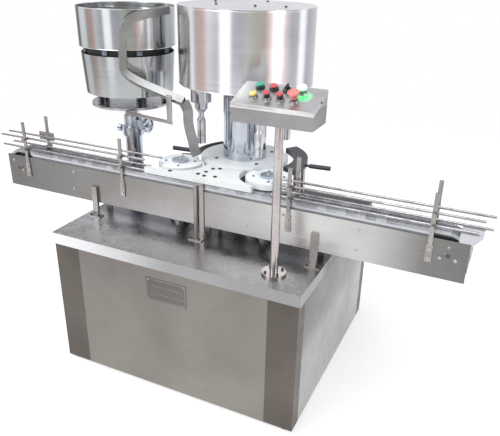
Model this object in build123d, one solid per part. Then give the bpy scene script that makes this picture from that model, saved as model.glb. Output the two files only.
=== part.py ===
from build123d import *
import math
import os

# Rotary four-head capping machine: a cabinet carries a slat-chain conveyor, two small
# starwheels, a capping turret, a cap feeder bowl and a control box on a post.
# Millimetres. Origin on the floor in the middle of the footprint, +X is the way the
# containers travel, -Y is the operator's side, +Z is up.

# ---- driving dimensions ----
CABINET_X = -38.0
CABINET_WIDTH = 1140.0
CABINET_DEPTH = 1006.0
CABINET_BASE = 14.0
TABLE_Z = 659.0
TABLE_SHEET = 3.0
TABLE_LIP = 50.0
TABLE_OVERHANG = 7.0
SHEET = 2.0
TUBE = 40.0
TUBE_WALL = 2.5

TURRET_X, TURRET_Y = 22.0, 89.0
HEAD_PITCH = 200.0
STAR_PITCH = 100.0
STAR_ANGLE = 45.0
POCKET_R = 22.5
STAR_CAP_R = 36.0
LANE_R = 24.0
STAR_LOW = 912.0
STAR_HIGH = 937.0
HEAD_ANGLES = (42.0, 132.0, 222.0, 312.0)
CHUCK_BOTTOM = 1004.0
CAM_SWING = 12.0
CAM_PHASE = 160.0
RUNNING = 0.05

DRUM_R = 288.0
DRUM_LOW = 1270.0
DRUM_HIGH = 1585.0
COLUMN_R = 98.0
MAST_R = 20.0

DRIVE_MODULE = 5.0
MAIN_TEETH = 80
STAR_TEETH = 40
PINION_TEETH = 20
SUN_MODULE = 4.0
SUN_TEETH = 75
HEAD_TEETH = 25
TOOTH_THINNING = 0.3

CHAIN_TOP = 908.0
CHAIN_WIDTH = 78.0
CHAIN_PLATES = 118
WRAP_R = 90.0
CHAIN_DEPTH = 14.0
SHAFT_Z = CHAIN_TOP - WRAP_R
DRIVE_X = 974.0
IDLER_X = -990.0
PANEL_LEFT = -1074.0
PANEL_RIGHT = 1057.0
PANEL_LOW = 722.0
PANEL_HIGH = 877.0
PANEL_SHEET = 3.0
PANEL_FRONT = -266.0
PANEL_REAR = -180.0
SHAFT_R = 12.5

ROD_R = 5.0
ROD_HIGH = 965.0
ROD_LOW = 917.0
ROD_FRONT_Y = -252.0
ROD_REAR_Y = -195.0
FRONT_BRACKETS = (-950.0, -404.0, 382.0, 922.0)
REAR_BRACKETS = (-893.0, -404.0, 382.0, 919.0)
POSTS_X = (-560.0, -28.0, 497.0)

BOWL_X, BOWL_Y = -539.0, 20.0
BOWL_FLOOR = 1394.0
BOWL_RIM = 1558.0
BOWL_LOW_R = 213.0
BOWL_R = 215.0
BOWL_SHEET = 2.5
DRUM_SHELL_R = 197.0
DRUM_TOP_R = 208.0
DRUM_TOP = 1366.0
PLATE_R = 179.0
LIFT_TUBE_R = 30.0

BOX_LEFT, BOX_RIGHT = 206.0, 512.0
BOX_FRONT, BOX_BACK = -424.0, -285.0
BOX_BOTTOM, BOX_LIP, BOX_TOP = 1238.0, 1304.0, 1355.0
POST_X, POST_Y = 385.0, -401.0

# ---- derived places ----
STAR_REACH = (HEAD_PITCH + STAR_PITCH) * math.cos(math.radians(STAR_ANGLE))
INFEED = (TURRET_X - STAR_REACH, TURRET_Y - STAR_REACH)
OUTFEED = (TURRET_X + STAR_REACH, TURRET_Y - STAR_REACH)
TURRET = (TURRET_X, TURRET_Y)
CHAIN_Y = INFEED[1] - STAR_PITCH
CAB_LEFT = CABINET_X - CABINET_WIDTH / 2
CAB_RIGHT = CABINET_X + CABINET_WIDTH / 2
CAB_FRONT = -CABINET_DEPTH / 2
CAB_BACK = CABINET_DEPTH / 2
TABLE_UNDER = TABLE_Z - TABLE_SHEET
PINION = (TURRET_X, TURRET_Y + DRIVE_MODULE * (MAIN_TEETH + PINION_TEETH) / 2)
GEAR_LOW = 560.0
GEAR_WIDTH = 25.0
PLATE_LOW = 420.0
PLATE_HIGH = 430.0
LID_SLOPE = math.degrees(math.atan2(BOX_TOP - BOX_LIP, BOX_BACK - BOX_FRONT))


# ---- small builders ----
def block(x0, x1, y0, y1, z0, z1):
    """A box between two opposite corners."""
    centre = Pos((x0 + x1) / 2, (y0 + y1) / 2, (z0 + z1) / 2)
    return centre * Box(x1 - x0, y1 - y0, z1 - z0)


def rod_z(radius, place, z0, z1):
    """An upright round bar."""
    return Pos(place[0], place[1], (z0 + z1) / 2) * Cylinder(radius, z1 - z0)


def rod_y(radius, x, z, y0, y1):
    """A round bar along Y."""
    return Pos(x, (y0 + y1) / 2, z) * Rot(90, 0, 0) * Cylinder(radius, y1 - y0)


def rod_x(radius, y, z, x0, x1):
    """A round bar along X."""
    return Pos((x0 + x1) / 2, y, z) * Rot(0, 90, 0) * Cylinder(radius, x1 - x0)


def tube_z(outer, inner, place, z0, z1):
    """An upright round tube."""
    return rod_z(outer, place, z0, z1) - rod_z(inner, place, z0 - 1, z1 + 1)


def cone_z(r0, r1, place, z0, z1):
    """An upright cone, r0 at the bottom."""
    return Pos(place[0], place[1], (z0 + z1) / 2) * Cone(r0, r1, z1 - z0)


def around(centre, radius, degrees):
    """A point at a distance and an angle from a centre."""
    turn = math.radians(degrees)
    return (centre[0] + radius * math.cos(turn), centre[1] + radius * math.sin(turn))


def fused(pieces):
    """One solid from pieces that touch or overlap."""
    whole = pieces[0]
    for piece in pieces[1:]:
        whole = whole + piece
    return whole


def save(name, *pieces):
    """Write one named sub-part, as one solid or a group of separate solids."""
    solids = [solid for piece in pieces for solid in piece.solids()]
    shape = solids[0] if len(solids) == 1 else Compound(children=solids)
    export_step(shape, f"parts/{name}.step")


# ---- gears ----
def involute(angle):
    return math.tan(angle) - angle


def gear(teeth, module, width, place, low, phase):
    """A spur gear with 20 degree involute teeth, one tooth centred at the phase angle."""
    pressure = math.radians(20)
    pitch_r = teeth * module / 2
    base_r = pitch_r * math.cos(pressure)
    tip_r = pitch_r + 0.95 * module
    root_r = pitch_r - 1.25 * module
    half = math.pi / (2 * teeth) - TOOTH_THINNING / (2 * pitch_r)
    start_r = max(base_r, root_r)
    radii = [start_r + (tip_r - start_r) * step / 4 for step in range(5)]
    flank = [(r, half + involute(pressure) - involute(math.acos(base_r / r))) for r in radii]
    if root_r < base_r:
        flank.insert(0, (root_r, flank[0][1]))
    points = []
    for tooth in range(teeth):
        middle = math.radians(phase) + 2 * math.pi * tooth / teeth
        points += [(r, middle - spread) for r, spread in flank]
        points += [(r, middle + spread) for r, spread in reversed(flank)]
    outline = Polyline(*[(r * math.cos(a), r * math.sin(a)) for r, a in points], close=True)
    return Pos(place[0], place[1], low) * extrude(make_face(outline), amount=width)


def mesh_phase(direction, teeth, phase, other_teeth):
    """The phase that puts the other gear's gap on this gear's tooth, along a direction."""
    offset = (direction - phase) * teeth / 360 % 1
    return direction + 180 - (0.5 - offset) * 360 / other_teeth


# ---- cabinet ----
def cabinet_frame():
    """Square tubes, cut to length and welded: posts, base, top and cross rails."""
    left, right = CAB_LEFT + SHEET, CAB_RIGHT - SHEET
    front, back = CAB_FRONT + SHEET, CAB_BACK - SHEET
    low, high = CABINET_BASE, TABLE_UNDER

    def along_x(x0, x1, y0, z0):
        bar = block(x0, x1, y0, y0 + TUBE, z0, z0 + TUBE)
        inside = (y0 + TUBE_WALL, y0 + TUBE - TUBE_WALL, z0 + TUBE_WALL, z0 + TUBE - TUBE_WALL)
        return bar - block(x0 - 1, x1 + 1, *inside)

    def along_y(x0, y0, y1, z0):
        bar = block(x0, x0 + TUBE, y0, y1, z0, z0 + TUBE)
        hollow = block(x0 + TUBE_WALL, x0 + TUBE - TUBE_WALL, y0 - 1, y1 + 1,
                       z0 + TUBE_WALL, z0 + TUBE - TUBE_WALL)
        return bar - hollow

    def upright(x0, y0):
        bar = block(x0, x0 + TUBE, y0, y0 + TUBE, low, high)
        hollow = block(x0 + TUBE_WALL, x0 + TUBE - TUBE_WALL, y0 + TUBE_WALL,
                       y0 + TUBE - TUBE_WALL, low + 5, high - 5)
        return bar - hollow

    bars = [upright(x, y) for x in (left, right - TUBE) for y in (front, back - TUBE)]
    for level in (low, high - TUBE):
        bars += [along_x(left + TUBE, right - TUBE, y, level) for y in (front, back - TUBE)]
        bars += [along_y(x, front + TUBE, back - TUBE, level) for x in (left, right - TUBE)]
    middle = PLATE_LOW - TUBE
    bars += [along_y(x, front + TUBE, back - TUBE, middle) for x in (left, right - TUBE)]
    bars += [along_x(left + TUBE, right - TUBE, y, middle) for y in (-20.0, 180.0, 380.0)]
    save("cabinet_frame", *bars)


def table_top():
    """Folded sheet top with a lip all round, and holes where shafts pass through."""
    x0, x1 = CAB_LEFT - TABLE_OVERHANG, CAB_RIGHT + TABLE_OVERHANG
    y0, y1 = CAB_FRONT - TABLE_OVERHANG, CAB_BACK + TABLE_OVERHANG
    tray = block(x0, x1, y0, y1, TABLE_Z - TABLE_LIP, TABLE_Z)
    tray -= block(x0 + TABLE_SHEET, x1 - TABLE_SHEET, y0 + TABLE_SHEET, y1 - TABLE_SHEET,
                  TABLE_Z - TABLE_LIP - 1, TABLE_UNDER)
    tray -= rod_z(45, TURRET, TABLE_UNDER - 1, TABLE_Z + 1)
    for star in (INFEED, OUTFEED):
        tray -= rod_z(18, star, TABLE_UNDER - 1, TABLE_Z + 1)
    save("table_top", tray)


CORNER_FRONT_LEG = 125.0
CORNER_SIDE_LEG = 65.0


def corner_trims():
    """Four folded corner sheets, wide on the front and back, narrow on the sides."""
    low, high = CABINET_BASE, TABLE_UNDER
    trims = []
    for side in (-1, 1):
        edge = CABINET_X + side * CABINET_WIDTH / 2
        inner = edge - side * CORNER_FRONT_LEG
        for face in (-1, 1):
            skin = face * CABINET_DEPTH / 2
            leg_end = skin - face * CORNER_SIDE_LEG
            flat = block(min(edge, inner), max(edge, inner),
                         min(skin, skin - face * SHEET), max(skin, skin - face * SHEET), low, high)
            leg = block(min(edge, edge - side * SHEET), max(edge, edge - side * SHEET),
                        min(skin, leg_end), max(skin, leg_end), low, high)
            trims.append(flat + leg)
    save("corner_trims", *trims)


def cabinet_panels():
    """Cover sheets between the corner trims."""
    low, high = CABINET_BASE, TABLE_UNDER
    x0, x1 = CAB_LEFT + CORNER_FRONT_LEG + 0.5, CAB_RIGHT - CORNER_FRONT_LEG - 0.5
    y0, y1 = CAB_FRONT + CORNER_SIDE_LEG + 0.5, CAB_BACK - CORNER_SIDE_LEG - 0.5
    save("front_panel", block(x0, x1, CAB_FRONT, CAB_FRONT + SHEET, low, high))
    covers = [block(x, x + SHEET, y0, y1, low, high) for x in (CAB_LEFT, CAB_RIGHT - SHEET)]
    covers.append(block(x0, x1, CAB_BACK - SHEET, CAB_BACK, low, high))
    save("side_and_rear_panels", *covers)


def levelling_feet():
    """Four round pads on threaded studs."""
    feet = []
    for x in (CAB_LEFT + 40, CAB_RIGHT - 40):
        for y in (CAB_FRONT + 40, CAB_BACK - 40):
            feet.append(rod_z(28, (x, y), 0, 7) + rod_z(8, (x, y), 7, CABINET_BASE))
    save("levelling_feet", *feet)


# ---- drive inside the cabinet ----
def drive_plate():
    """Plate on the cross rails with the turret's lower bearing."""
    plate = block(-100, 150, -20, 420, PLATE_LOW, PLATE_HIGH)
    ring = rod_z(70, TURRET, PLATE_HIGH, 490) - rod_z(43, TURRET, PLATE_HIGH, 455)
    ring -= rod_z(40 + RUNNING, TURRET, 454, 491)
    save("drive_plate", plate + ring)


def gearmotors():
    """Right-angle gearmotors for the turret and for the conveyor."""
    px, py = PINION
    turret_box = block(px - 60, px + 60, py - 60, py + 60, PLATE_HIGH, 530)
    turret_box -= rod_z(15 + RUNNING, PINION, 465, 531)
    turret_motor = fused([turret_box, rod_x(45, py, 480, px - 300, px - 60)])
    cover = rod_x(42, py, 480, px - 318, px - 300)
    low_y = PANEL_REAR + 0.5
    shaft_box = block(DRIVE_X - 42, DRIVE_X + 42, low_y, low_y + 80, SHAFT_Z - 45, SHAFT_Z + 42)
    shaft_box -= rod_y(SHAFT_R + RUNNING, DRIVE_X, SHAFT_Z, low_y - 1, low_y + 60)
    chain_motor = fused([shaft_box, rod_x(36, low_y + 42, SHAFT_Z, DRIVE_X - 230, DRIVE_X - 42)])
    save("gearmotors", turret_motor + cover, chain_motor)


def drive_pinion():
    phase = mesh_phase(90, MAIN_TEETH, 0, PINION_TEETH)
    teeth = gear(PINION_TEETH, DRIVE_MODULE, 31, PINION, GEAR_LOW - 3, phase)
    save("drive_pinion", teeth + rod_z(15, PINION, 470, GEAR_LOW - 3))


# ---- turret ----
def pedestals():
    """Bearing pedestals on the table for the turret and the two stars."""
    main = rod_z(60, TURRET, TABLE_Z, 880) + rod_z(110, TURRET, TABLE_Z, TABLE_Z + 12)
    main -= rod_z(40 + RUNNING, TURRET, TABLE_Z - 1, 881)
    main -= rod_z(44, TURRET, 690, 850)
    group = [main]
    for star in (INFEED, OUTFEED):
        small = rod_z(32, star, TABLE_Z, 870) + rod_z(55, star, TABLE_Z, TABLE_Z + 12)
        small -= rod_z(15 + RUNNING, star, TABLE_Z - 1, 871)
        small -= rod_z(18, star, 690, 840)
        group.append(small)
    save("pedestals", *group)


def main_shaft():
    """Hollow shaft with the big gear under the table and a flange under the star."""
    solid = fused([
        rod_z(40, TURRET, 458, STAR_LOW),
        gear(MAIN_TEETH, DRIVE_MODULE, GEAR_WIDTH, TURRET, GEAR_LOW, 0),
        rod_z(90, TURRET, 890, STAR_LOW),
    ])
    save("main_shaft", solid - rod_z(26, TURRET, 457, STAR_LOW + 1))


def main_star():
    """Four-pocket plate that carries the containers round under the heads."""
    plate = rod_z(HEAD_PITCH - 1, TURRET, STAR_LOW, STAR_HIGH)
    plate -= rod_z(27, TURRET, STAR_LOW - 1, STAR_HIGH + 1)
    for angle in HEAD_ANGLES:
        plate -= rod_z(POCKET_R, around(TURRET, HEAD_PITCH, angle), STAR_LOW - 1, STAR_HIGH + 1)
    save("main_star", plate)


def turret_column():
    """Polished tube between the star and the head carrier, with a bush on the mast."""
    tube = tube_z(COLUMN_R, COLUMN_R - 5, TURRET, STAR_HIGH, DRUM_LOW + 2)
    bush = tube_z(COLUMN_R - 4, MAST_R + RUNNING, TURRET, DRUM_LOW - 24, DRUM_LOW + 2)
    save("turret_column", tube + bush)


def head_carrier():
    """Disc that closes the drum's bottom and holds the four head sleeves."""
    disc = rod_z(DRUM_R - 2.5, TURRET, DRUM_LOW + 2, DRUM_LOW + 20)
    disc -= rod_z(MAST_R + 4, TURRET, DRUM_LOW, DRUM_LOW + 21)
    for angle in HEAD_ANGLES:
        disc -= rod_z(40, around(TURRET, HEAD_PITCH, angle), DRUM_LOW, DRUM_LOW + 21)
    save("head_carrier", disc)


def head_sleeves():
    """Guide sleeves under the carrier, one for each head."""
    sleeves = []
    for angle in HEAD_ANGLES:
        place = around(TURRET, HEAD_PITCH, angle)
        sleeve = rod_z(44, place, 1194, DRUM_LOW + 2) + rod_z(40, place, DRUM_LOW + 2, 1305)
        sleeves.append(sleeve - rod_z(28 + RUNNING, place, 1193, 1306))
    save("head_sleeves", *sleeves)


def drum_cover():
    """Polished round cover over the sun gear and the cam, closed on top."""
    shell = rod_z(DRUM_R, TURRET, DRUM_LOW, DRUM_HIGH)
    save("drum_cover", shell - rod_z(DRUM_R - 2, TURRET, DRUM_LOW - 1, DRUM_HIGH - 2))


def mast():
    """Fixed mast through the turret; its foot is bolted to the drive plate."""
    save("mast", rod_z(36, TURRET, PLATE_HIGH, 445) + rod_z(MAST_R, TURRET, 445, 1515))


CAM_NOMINAL = 1340.0
CAM_R = 146.0
ROLLER_Z = 1384.0
QUILL_TOP = 1430.0
HEAD_GEAR_LOW = 1444.0
SUN_LOW, SUN_WIDTH = 1426.0, 68.0


def sun_gear():
    """Fixed sun gear that spins the heads, and the slanted ring cam that lifts them."""
    ring = tube_z(CAM_R + 6, CAM_R - 6, TURRET, 1300, CAM_NOMINAL + 30)
    tilt = math.degrees(math.atan2(CAM_SWING, CAM_R))
    above = Pos(TURRET_X, TURRET_Y, CAM_NOMINAL) * Rot(0, 0, CAM_PHASE) * Rot(0, -tilt, 0)
    ring -= above * Pos(0, 0, 50) * Box(400, 400, 100)
    web = tube_z(CAM_R + 6, MAST_R, TURRET, 1300, 1308)
    gear_ring = gear(SUN_TEETH, SUN_MODULE, SUN_WIDTH, TURRET, SUN_LOW, 0)
    gear_ring -= rod_z(MAST_R, TURRET, SUN_LOW - 1, SUN_LOW + SUN_WIDTH + 1)
    save("sun_gear", ring + web, gear_ring)


def head_lift(angle):
    """How far the cam holds a head above its middle height."""
    return CAM_SWING * math.cos(math.radians(angle - CAM_PHASE))


def capping_heads():
    """Quill that slides in its sleeve, and the spindle that turns inside it."""
    for number, angle in enumerate(HEAD_ANGLES, start=1):
        place = around(TURRET, HEAD_PITCH, angle)
        rise = head_lift(angle)
        quill = rod_z(28, place, 1158 + rise, QUILL_TOP + rise)
        quill += cone_z(17, 28, place, 1144 + rise, 1158 + rise)
        arm_near, arm_far = CAM_R + 8, HEAD_PITCH - 20
        middle = around(TURRET, (arm_near + arm_far) / 2, angle)
        arm = Pos(*middle, ROLLER_Z + rise) * Rot(0, 0, angle)
        quill += arm * Box(arm_far - arm_near, 14, 20)
        roller = Pos(*around(TURRET, CAM_R, angle), ROLLER_Z + rise) * Rot(0, 0, angle)
        quill += roller * Rot(0, 90, 0) * Cylinder(9, 22)
        quill -= rod_z(13 + RUNNING, place, 1140 + rise, QUILL_TOP + 2 + rise)
        save(f"head_quill_{number}", quill)

        bottom = CHUCK_BOTTOM + rise
        chuck = rod_z(19.5, place, bottom, 1108 + rise)
        chuck += cone_z(19.5, 13, place, 1108 + rise, 1120 + rise)
        shaft = rod_z(13, place, 1120 + rise, HEAD_GEAR_LOW + rise)
        phase = mesh_phase(angle, SUN_TEETH, 0, HEAD_TEETH)
        pinion = gear(HEAD_TEETH, SUN_MODULE, 20, place, HEAD_GEAR_LOW + rise, phase)
        spindle = fused([chuck, shaft, pinion])
        spindle -= cone_z(15.5, 13, place, bottom - 0.1, bottom + 28)
        save(f"head_spindle_{number}", spindle)


# ---- small stars ----
def small_stars():
    """Infeed and outfeed stars with two pockets each, on geared shafts."""
    for name, star, turret_side in (("infeed", INFEED, STAR_ANGLE),
                                    ("outfeed", OUTFEED, 180 - STAR_ANGLE)):
        to_star = turret_side + 180
        nearest = min(HEAD_ANGLES, key=lambda angle: abs(angle - to_star))
        first_pocket = turret_side - 2 * (nearest - to_star)
        plate = rod_z(STAR_PITCH - 3, star, STAR_LOW, STAR_HIGH)
        plate -= rod_z(15, star, STAR_LOW - 1, STAR_HIGH + 1)
        for angle in (first_pocket, first_pocket + 180):
            pocket = around(star, STAR_PITCH, angle)
            plate -= rod_z(POCKET_R, pocket, STAR_LOW - 1, STAR_HIGH + 1)
        save(f"{name}_star", plate)
        phase = mesh_phase(to_star, MAIN_TEETH, 0, STAR_TEETH)
        shaft = fused([
            rod_z(15, star, 545, STAR_HIGH),
            rod_z(40, star, 885, STAR_LOW),
            rod_z(STAR_CAP_R, star, STAR_HIGH, STAR_HIGH + 10),
            gear(STAR_TEETH, DRIVE_MODULE, GEAR_WIDTH, star, GEAR_LOW, phase),
        ])
        save(f"{name}_shaft", shaft)


# ---- container guides ----
def ring_sector(centre, inner, outer, start, end, low, high):
    """Part of a flat ring between two angles."""
    corners = ((inner, 0, low), (outer, 0, low), (outer, 0, high), (inner, 0, high))
    section = make_face(Polyline(*corners, close=True))
    sector = revolve(section, axis=Axis.Z, revolution_arc=end - start)
    return Pos(centre[0], centre[1], 0) * Rot(0, 0, start) * sector


def centre_guide():
    """White plate between the stars: its arcs are the inner walls of the lanes."""
    plate = block(INFEED[0] - 95, OUTFEED[0] - 15, PANEL_FRONT, TURRET_Y, STAR_LOW, STAR_HIGH)
    plate -= rod_z(HEAD_PITCH + 4, TURRET, STAR_LOW - 1, STAR_HIGH + 1)
    for star in (INFEED, OUTFEED):
        plate -= rod_z(STAR_PITCH + LANE_R, star, STAR_LOW - 1, STAR_HIGH + 1)
    lane = (CHAIN_Y - LANE_R, TURRET_Y + 1, STAR_LOW - 1, STAR_HIGH + 1)
    plate -= block(INFEED[0] - 200, INFEED[0], *lane)
    plate -= block(OUTFEED[0], OUTFEED[0] + 200, *lane)
    pieces = sorted(plate.solids(), key=lambda solid: solid.volume)
    save("centre_guide", pieces[-1])


OUTER_NEAR = 226.0
OUTER_THIN = 238.0
OUTER_FAR = 288.0
STEM_R, GRIP_R = 6.0, 10.0
GRIP_LENGTH = 95.0
GUIDE_MIDDLE = (STAR_LOW + STAR_HIGH) / 2


def outer_guide(outer, start, end, angle, far):
    """A black arc round the turret lane, with a stem and a grip pointing outwards."""
    guide = ring_sector(TURRET, OUTER_NEAR, outer, start, end, STAR_LOW, STAR_HIGH)
    near = outer - 4
    for radius, inner_end in ((STEM_R, near), (GRIP_R, max(far - GRIP_LENGTH, near))):
        place = around(TURRET, (inner_end + far) / 2, angle)
        turn = Pos(*place, GUIDE_MIDDLE) * Rot(0, 0, angle) * Rot(0, 90, 0)
        guide += turn * Cylinder(radius, far - inner_end)
    return guide


def outer_guides():
    """Two black arcs outside the turret lane; the left one is thin, with a block at its end
    cut clear of the infeed star and its lane."""
    left = outer_guide(OUTER_THIN, 105, 221, 184.5, 365)
    left += ring_sector(TURRET, OUTER_NEAR, OUTER_FAR, 203, 221, STAR_LOW, STAR_HIGH)
    for angle in (0, 15, 30, 45):
        pocket = around(INFEED, STAR_PITCH, angle)
        left -= rod_z(LANE_R, pocket, STAR_LOW - 1, STAR_HIGH + 1)
    left -= rod_z(STAR_PITCH, INFEED, STAR_LOW - 1, STAR_HIGH + 1)
    save("outer_guides", left, outer_guide(OUTER_FAR, -17, 56, 5.5, 400))


def guide_posts():
    """Stainless posts from the table to the guides, slim ones under the thin arc."""
    thin_middle = (OUTER_NEAR + OUTER_THIN) / 2
    slim = (OUTER_THIN - OUTER_NEAR) / 2
    posts = [tube_z(slim, slim - 2, around(TURRET, thin_middle, angle), TABLE_Z, STAR_LOW)
             for angle in (115, 165)]
    posts += [tube_z(11, 5, around(TURRET, OUTER_FAR - 13, angle), TABLE_Z, STAR_LOW)
              for angle in (-10, 30)]
    posts.append(tube_z(11, 5, (TURRET_X, -148), TABLE_Z, STAR_LOW))
    save("guide_posts", *posts)


# ---- conveyor ----
def wrap_point(travel, radius):
    """A point on the loop round both sprockets, by distance along the outer face."""
    run = DRIVE_X - IDLER_X
    half_turn = math.pi * WRAP_R
    travel = travel % (2 * run + 2 * half_turn)
    if travel < run:
        return (IDLER_X + travel, SHAFT_Z + radius)
    travel -= run
    if travel < half_turn:
        turn = math.pi / 2 - travel / WRAP_R
        return (DRIVE_X + radius * math.cos(turn), SHAFT_Z + radius * math.sin(turn))
    travel -= half_turn
    if travel < run:
        return (DRIVE_X - travel, SHAFT_Z - radius)
    turn = -math.pi / 2 - (travel - run) / WRAP_R
    return (IDLER_X + radius * math.cos(turn), SHAFT_Z + radius * math.sin(turn))


def slat_chain():
    """Closed loop of flat plates; a groove stands between each plate and the next."""
    pitch = (2 * (DRIVE_X - IDLER_X) + 2 * math.pi * WRAP_R) / CHAIN_PLATES
    gap, depth = 1.6, 4.0
    outline = []
    for plate in range(CHAIN_PLATES):
        start, end = plate * pitch + gap / 2, (plate + 1) * pitch - gap / 2
        outline += [wrap_point(start, WRAP_R - depth), wrap_point(start, WRAP_R)]
        outline += [wrap_point(end, WRAP_R), wrap_point(end, WRAP_R - depth)]
    loop = make_face(Polyline(*outline, close=True))
    inner = Pos((DRIVE_X + IDLER_X) / 2, SHAFT_Z) * SlotCenterToCenter(
        DRIVE_X - IDLER_X, 2 * (WRAP_R - CHAIN_DEPTH))
    section = loop - inner
    solid = extrude(section, amount=CHAIN_WIDTH)
    save("slat_chain", Pos(0, CHAIN_Y + CHAIN_WIDTH / 2, 0) * Rot(90, 0, 0) * solid)


def conveyor_panels():
    """Long side sheets; the front one shows the shaft ends through small holes."""
    panels = []
    for face, inner in ((PANEL_FRONT, PANEL_FRONT + PANEL_SHEET),
                        (PANEL_REAR - PANEL_SHEET, PANEL_REAR)):
        sheet = block(PANEL_LEFT, PANEL_RIGHT, face, inner, PANEL_LOW, PANEL_HIGH)
        for x in (DRIVE_X, IDLER_X):
            hole = 5.0 if face == PANEL_FRONT else SHAFT_R + 1
            sheet -= rod_y(hole, x, SHAFT_Z, face - 1, inner + 1)
        panels.append(sheet)
    save("conveyor_panels", *panels)


NOSE_START, NOSE_END = 1016.0, 1092.0
NOSE_SHEET = 5.0
NOSE_SLANT = 24.0


def end_plate():
    """Fixed plate past the end of the chain, with a skirt on each side."""
    corners = [(NOSE_START, PANEL_HIGH), (NOSE_END - NOSE_SLANT, PANEL_HIGH),
               (NOSE_END, CHAIN_TOP), (NOSE_START, CHAIN_TOP)]
    face = make_face(Polyline(*[(x, PANEL_FRONT, z) for x, z in corners], close=True))
    plate = extrude(face, amount=PANEL_REAR - PANEL_FRONT, dir=(0, 1, 0))
    return plate - block(NOSE_START - 1, NOSE_END + 1, PANEL_FRONT + PANEL_SHEET,
                         PANEL_REAR - PANEL_SHEET, PANEL_HIGH - 1, CHAIN_TOP - NOSE_SHEET)


def wear_strips():
    """Plastic strips under the chain, on cross bars between the panels."""
    x0, x1 = IDLER_X + 60, DRIVE_X - 60
    chain_front, chain_back = CHAIN_Y - CHAIN_WIDTH / 2, CHAIN_Y + CHAIN_WIDTH / 2
    pieces = []
    for edge, side in ((chain_front, 1), (chain_back, -1)):
        outer, inner = edge, edge + side * 20
        cap = block(x0, x1, min(outer, inner), max(outer, inner), 885, CHAIN_TOP - CHAIN_DEPTH)
        near, far = edge + side * 8, edge + side * 16
        web = block(x0, x1, min(near, far), max(near, far), 862, 885)
        pieces.append(cap + web)
    bars = 7
    for step in range(bars):
        x = x0 + 40 + (x1 - x0 - 80) * step / (bars - 1)
        pieces.append(rod_y(8, x, 854, PANEL_FRONT + PANEL_SHEET, PANEL_REAR - PANEL_SHEET))
    save("wear_strips", *pieces, end_plate())


def conveyor_bearings():
    """Flange bearings inside the panels, two on each shaft."""
    rings = []
    for x in (DRIVE_X, IDLER_X):
        for y0, y1 in ((PANEL_FRONT + PANEL_SHEET, PANEL_FRONT + 15),
                       (PANEL_REAR - 15, PANEL_REAR - PANEL_SHEET)):
            ring = rod_y(32, x, SHAFT_Z, y0, y1)
            rings.append(ring - rod_y(SHAFT_R + RUNNING, x, SHAFT_Z, y0 - 1, y1 + 1))
    save("conveyor_bearings", *rings)


def conveyor_shafts():
    """Sprocket shafts at both ends of the chain; the drive one reaches its gearbox."""
    sprocket_r = WRAP_R - CHAIN_DEPTH - 1.5
    for name, x, end in (("conveyor_drive_shaft", DRIVE_X, PANEL_REAR + 55),
                         ("conveyor_idler_shaft", IDLER_X, PANEL_REAR - 4)):
        shaft = rod_y(SHAFT_R, x, SHAFT_Z, PANEL_FRONT + PANEL_SHEET + 0.5, end)
        wheel = rod_y(sprocket_r, x, SHAFT_Z, CHAIN_Y - 22, CHAIN_Y + 22)
        for notch in range(12):
            turn = math.radians(30 * notch)
            nx, nz = x + sprocket_r * math.cos(turn), SHAFT_Z + sprocket_r * math.sin(turn)
            wheel -= rod_y(7, nx, nz, CHAIN_Y - 23, CHAIN_Y + 23)
        save(name, shaft + wheel)


def conveyor_posts():
    """Bars from the table to the panels; the middle pair also holds the guide."""
    posts = []
    for x in POSTS_X:
        post = block(x - 26, x + 36, PANEL_FRONT - 34, PANEL_FRONT, TABLE_Z, TABLE_Z + 6)
        if x == POSTS_X[1]:
            top = STAR_LOW - 3
            post += rod_z(9, (x, PANEL_FRONT - 10), TABLE_Z, top)
            post += block(x + 12, x + 34, PANEL_FRONT - 5, PANEL_FRONT, TABLE_Z, top)
            post += block(x - 14, x + 34, PANEL_FRONT - 19, PANEL_FRONT + 14, top, STAR_LOW)
        else:
            post += block(x - 14, x + 14, PANEL_FRONT - 12, PANEL_FRONT, TABLE_Z, 800)
        posts.append(post)
        rear = block(x - 14, x + 14, PANEL_REAR, PANEL_REAR + 10, TABLE_Z, 800)
        posts.append(rear)
    save("conveyor_posts", *posts)


def rail_brackets():
    """Upright bars bolted outside the panels, wide at the foot and narrow above."""
    bars = []
    for x, front, top in ([(x, PANEL_FRONT - 5, 1045) for x in FRONT_BRACKETS]
                          + [(x, PANEL_REAR, 1060) for x in REAR_BRACKETS]):
        bar = block(x - 12, x + 12, front, front + 5, 781, 850)
        bars.append(bar + block(x - 8, x + 8, front, front + 5, 850, top))
    save("rail_brackets", *bars)


GUIDE_RODS = (
    (ROD_REAR_Y, ROD_HIGH, -1120.0, -240.0), (ROD_FRONT_Y, ROD_HIGH, -1110.0, -292.0),
    (ROD_FRONT_Y, ROD_LOW, -1106.0, -292.0), (ROD_REAR_Y, ROD_LOW, -1100.0, -300.0),
    (ROD_REAR_Y, ROD_HIGH, 302.0, 1120.0), (ROD_FRONT_Y, ROD_HIGH, 302.0, 1090.0),
    (ROD_FRONT_Y, ROD_LOW, 302.0, 1076.0), (ROD_REAR_Y, ROD_LOW, 306.0, 1118.0),
)


def guide_rails():
    """Round rods along both sides of the container lane."""
    save("guide_rails", *[rod_x(ROD_R, y, z, x0, x1) for y, z, x0, x1 in GUIDE_RODS])


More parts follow.
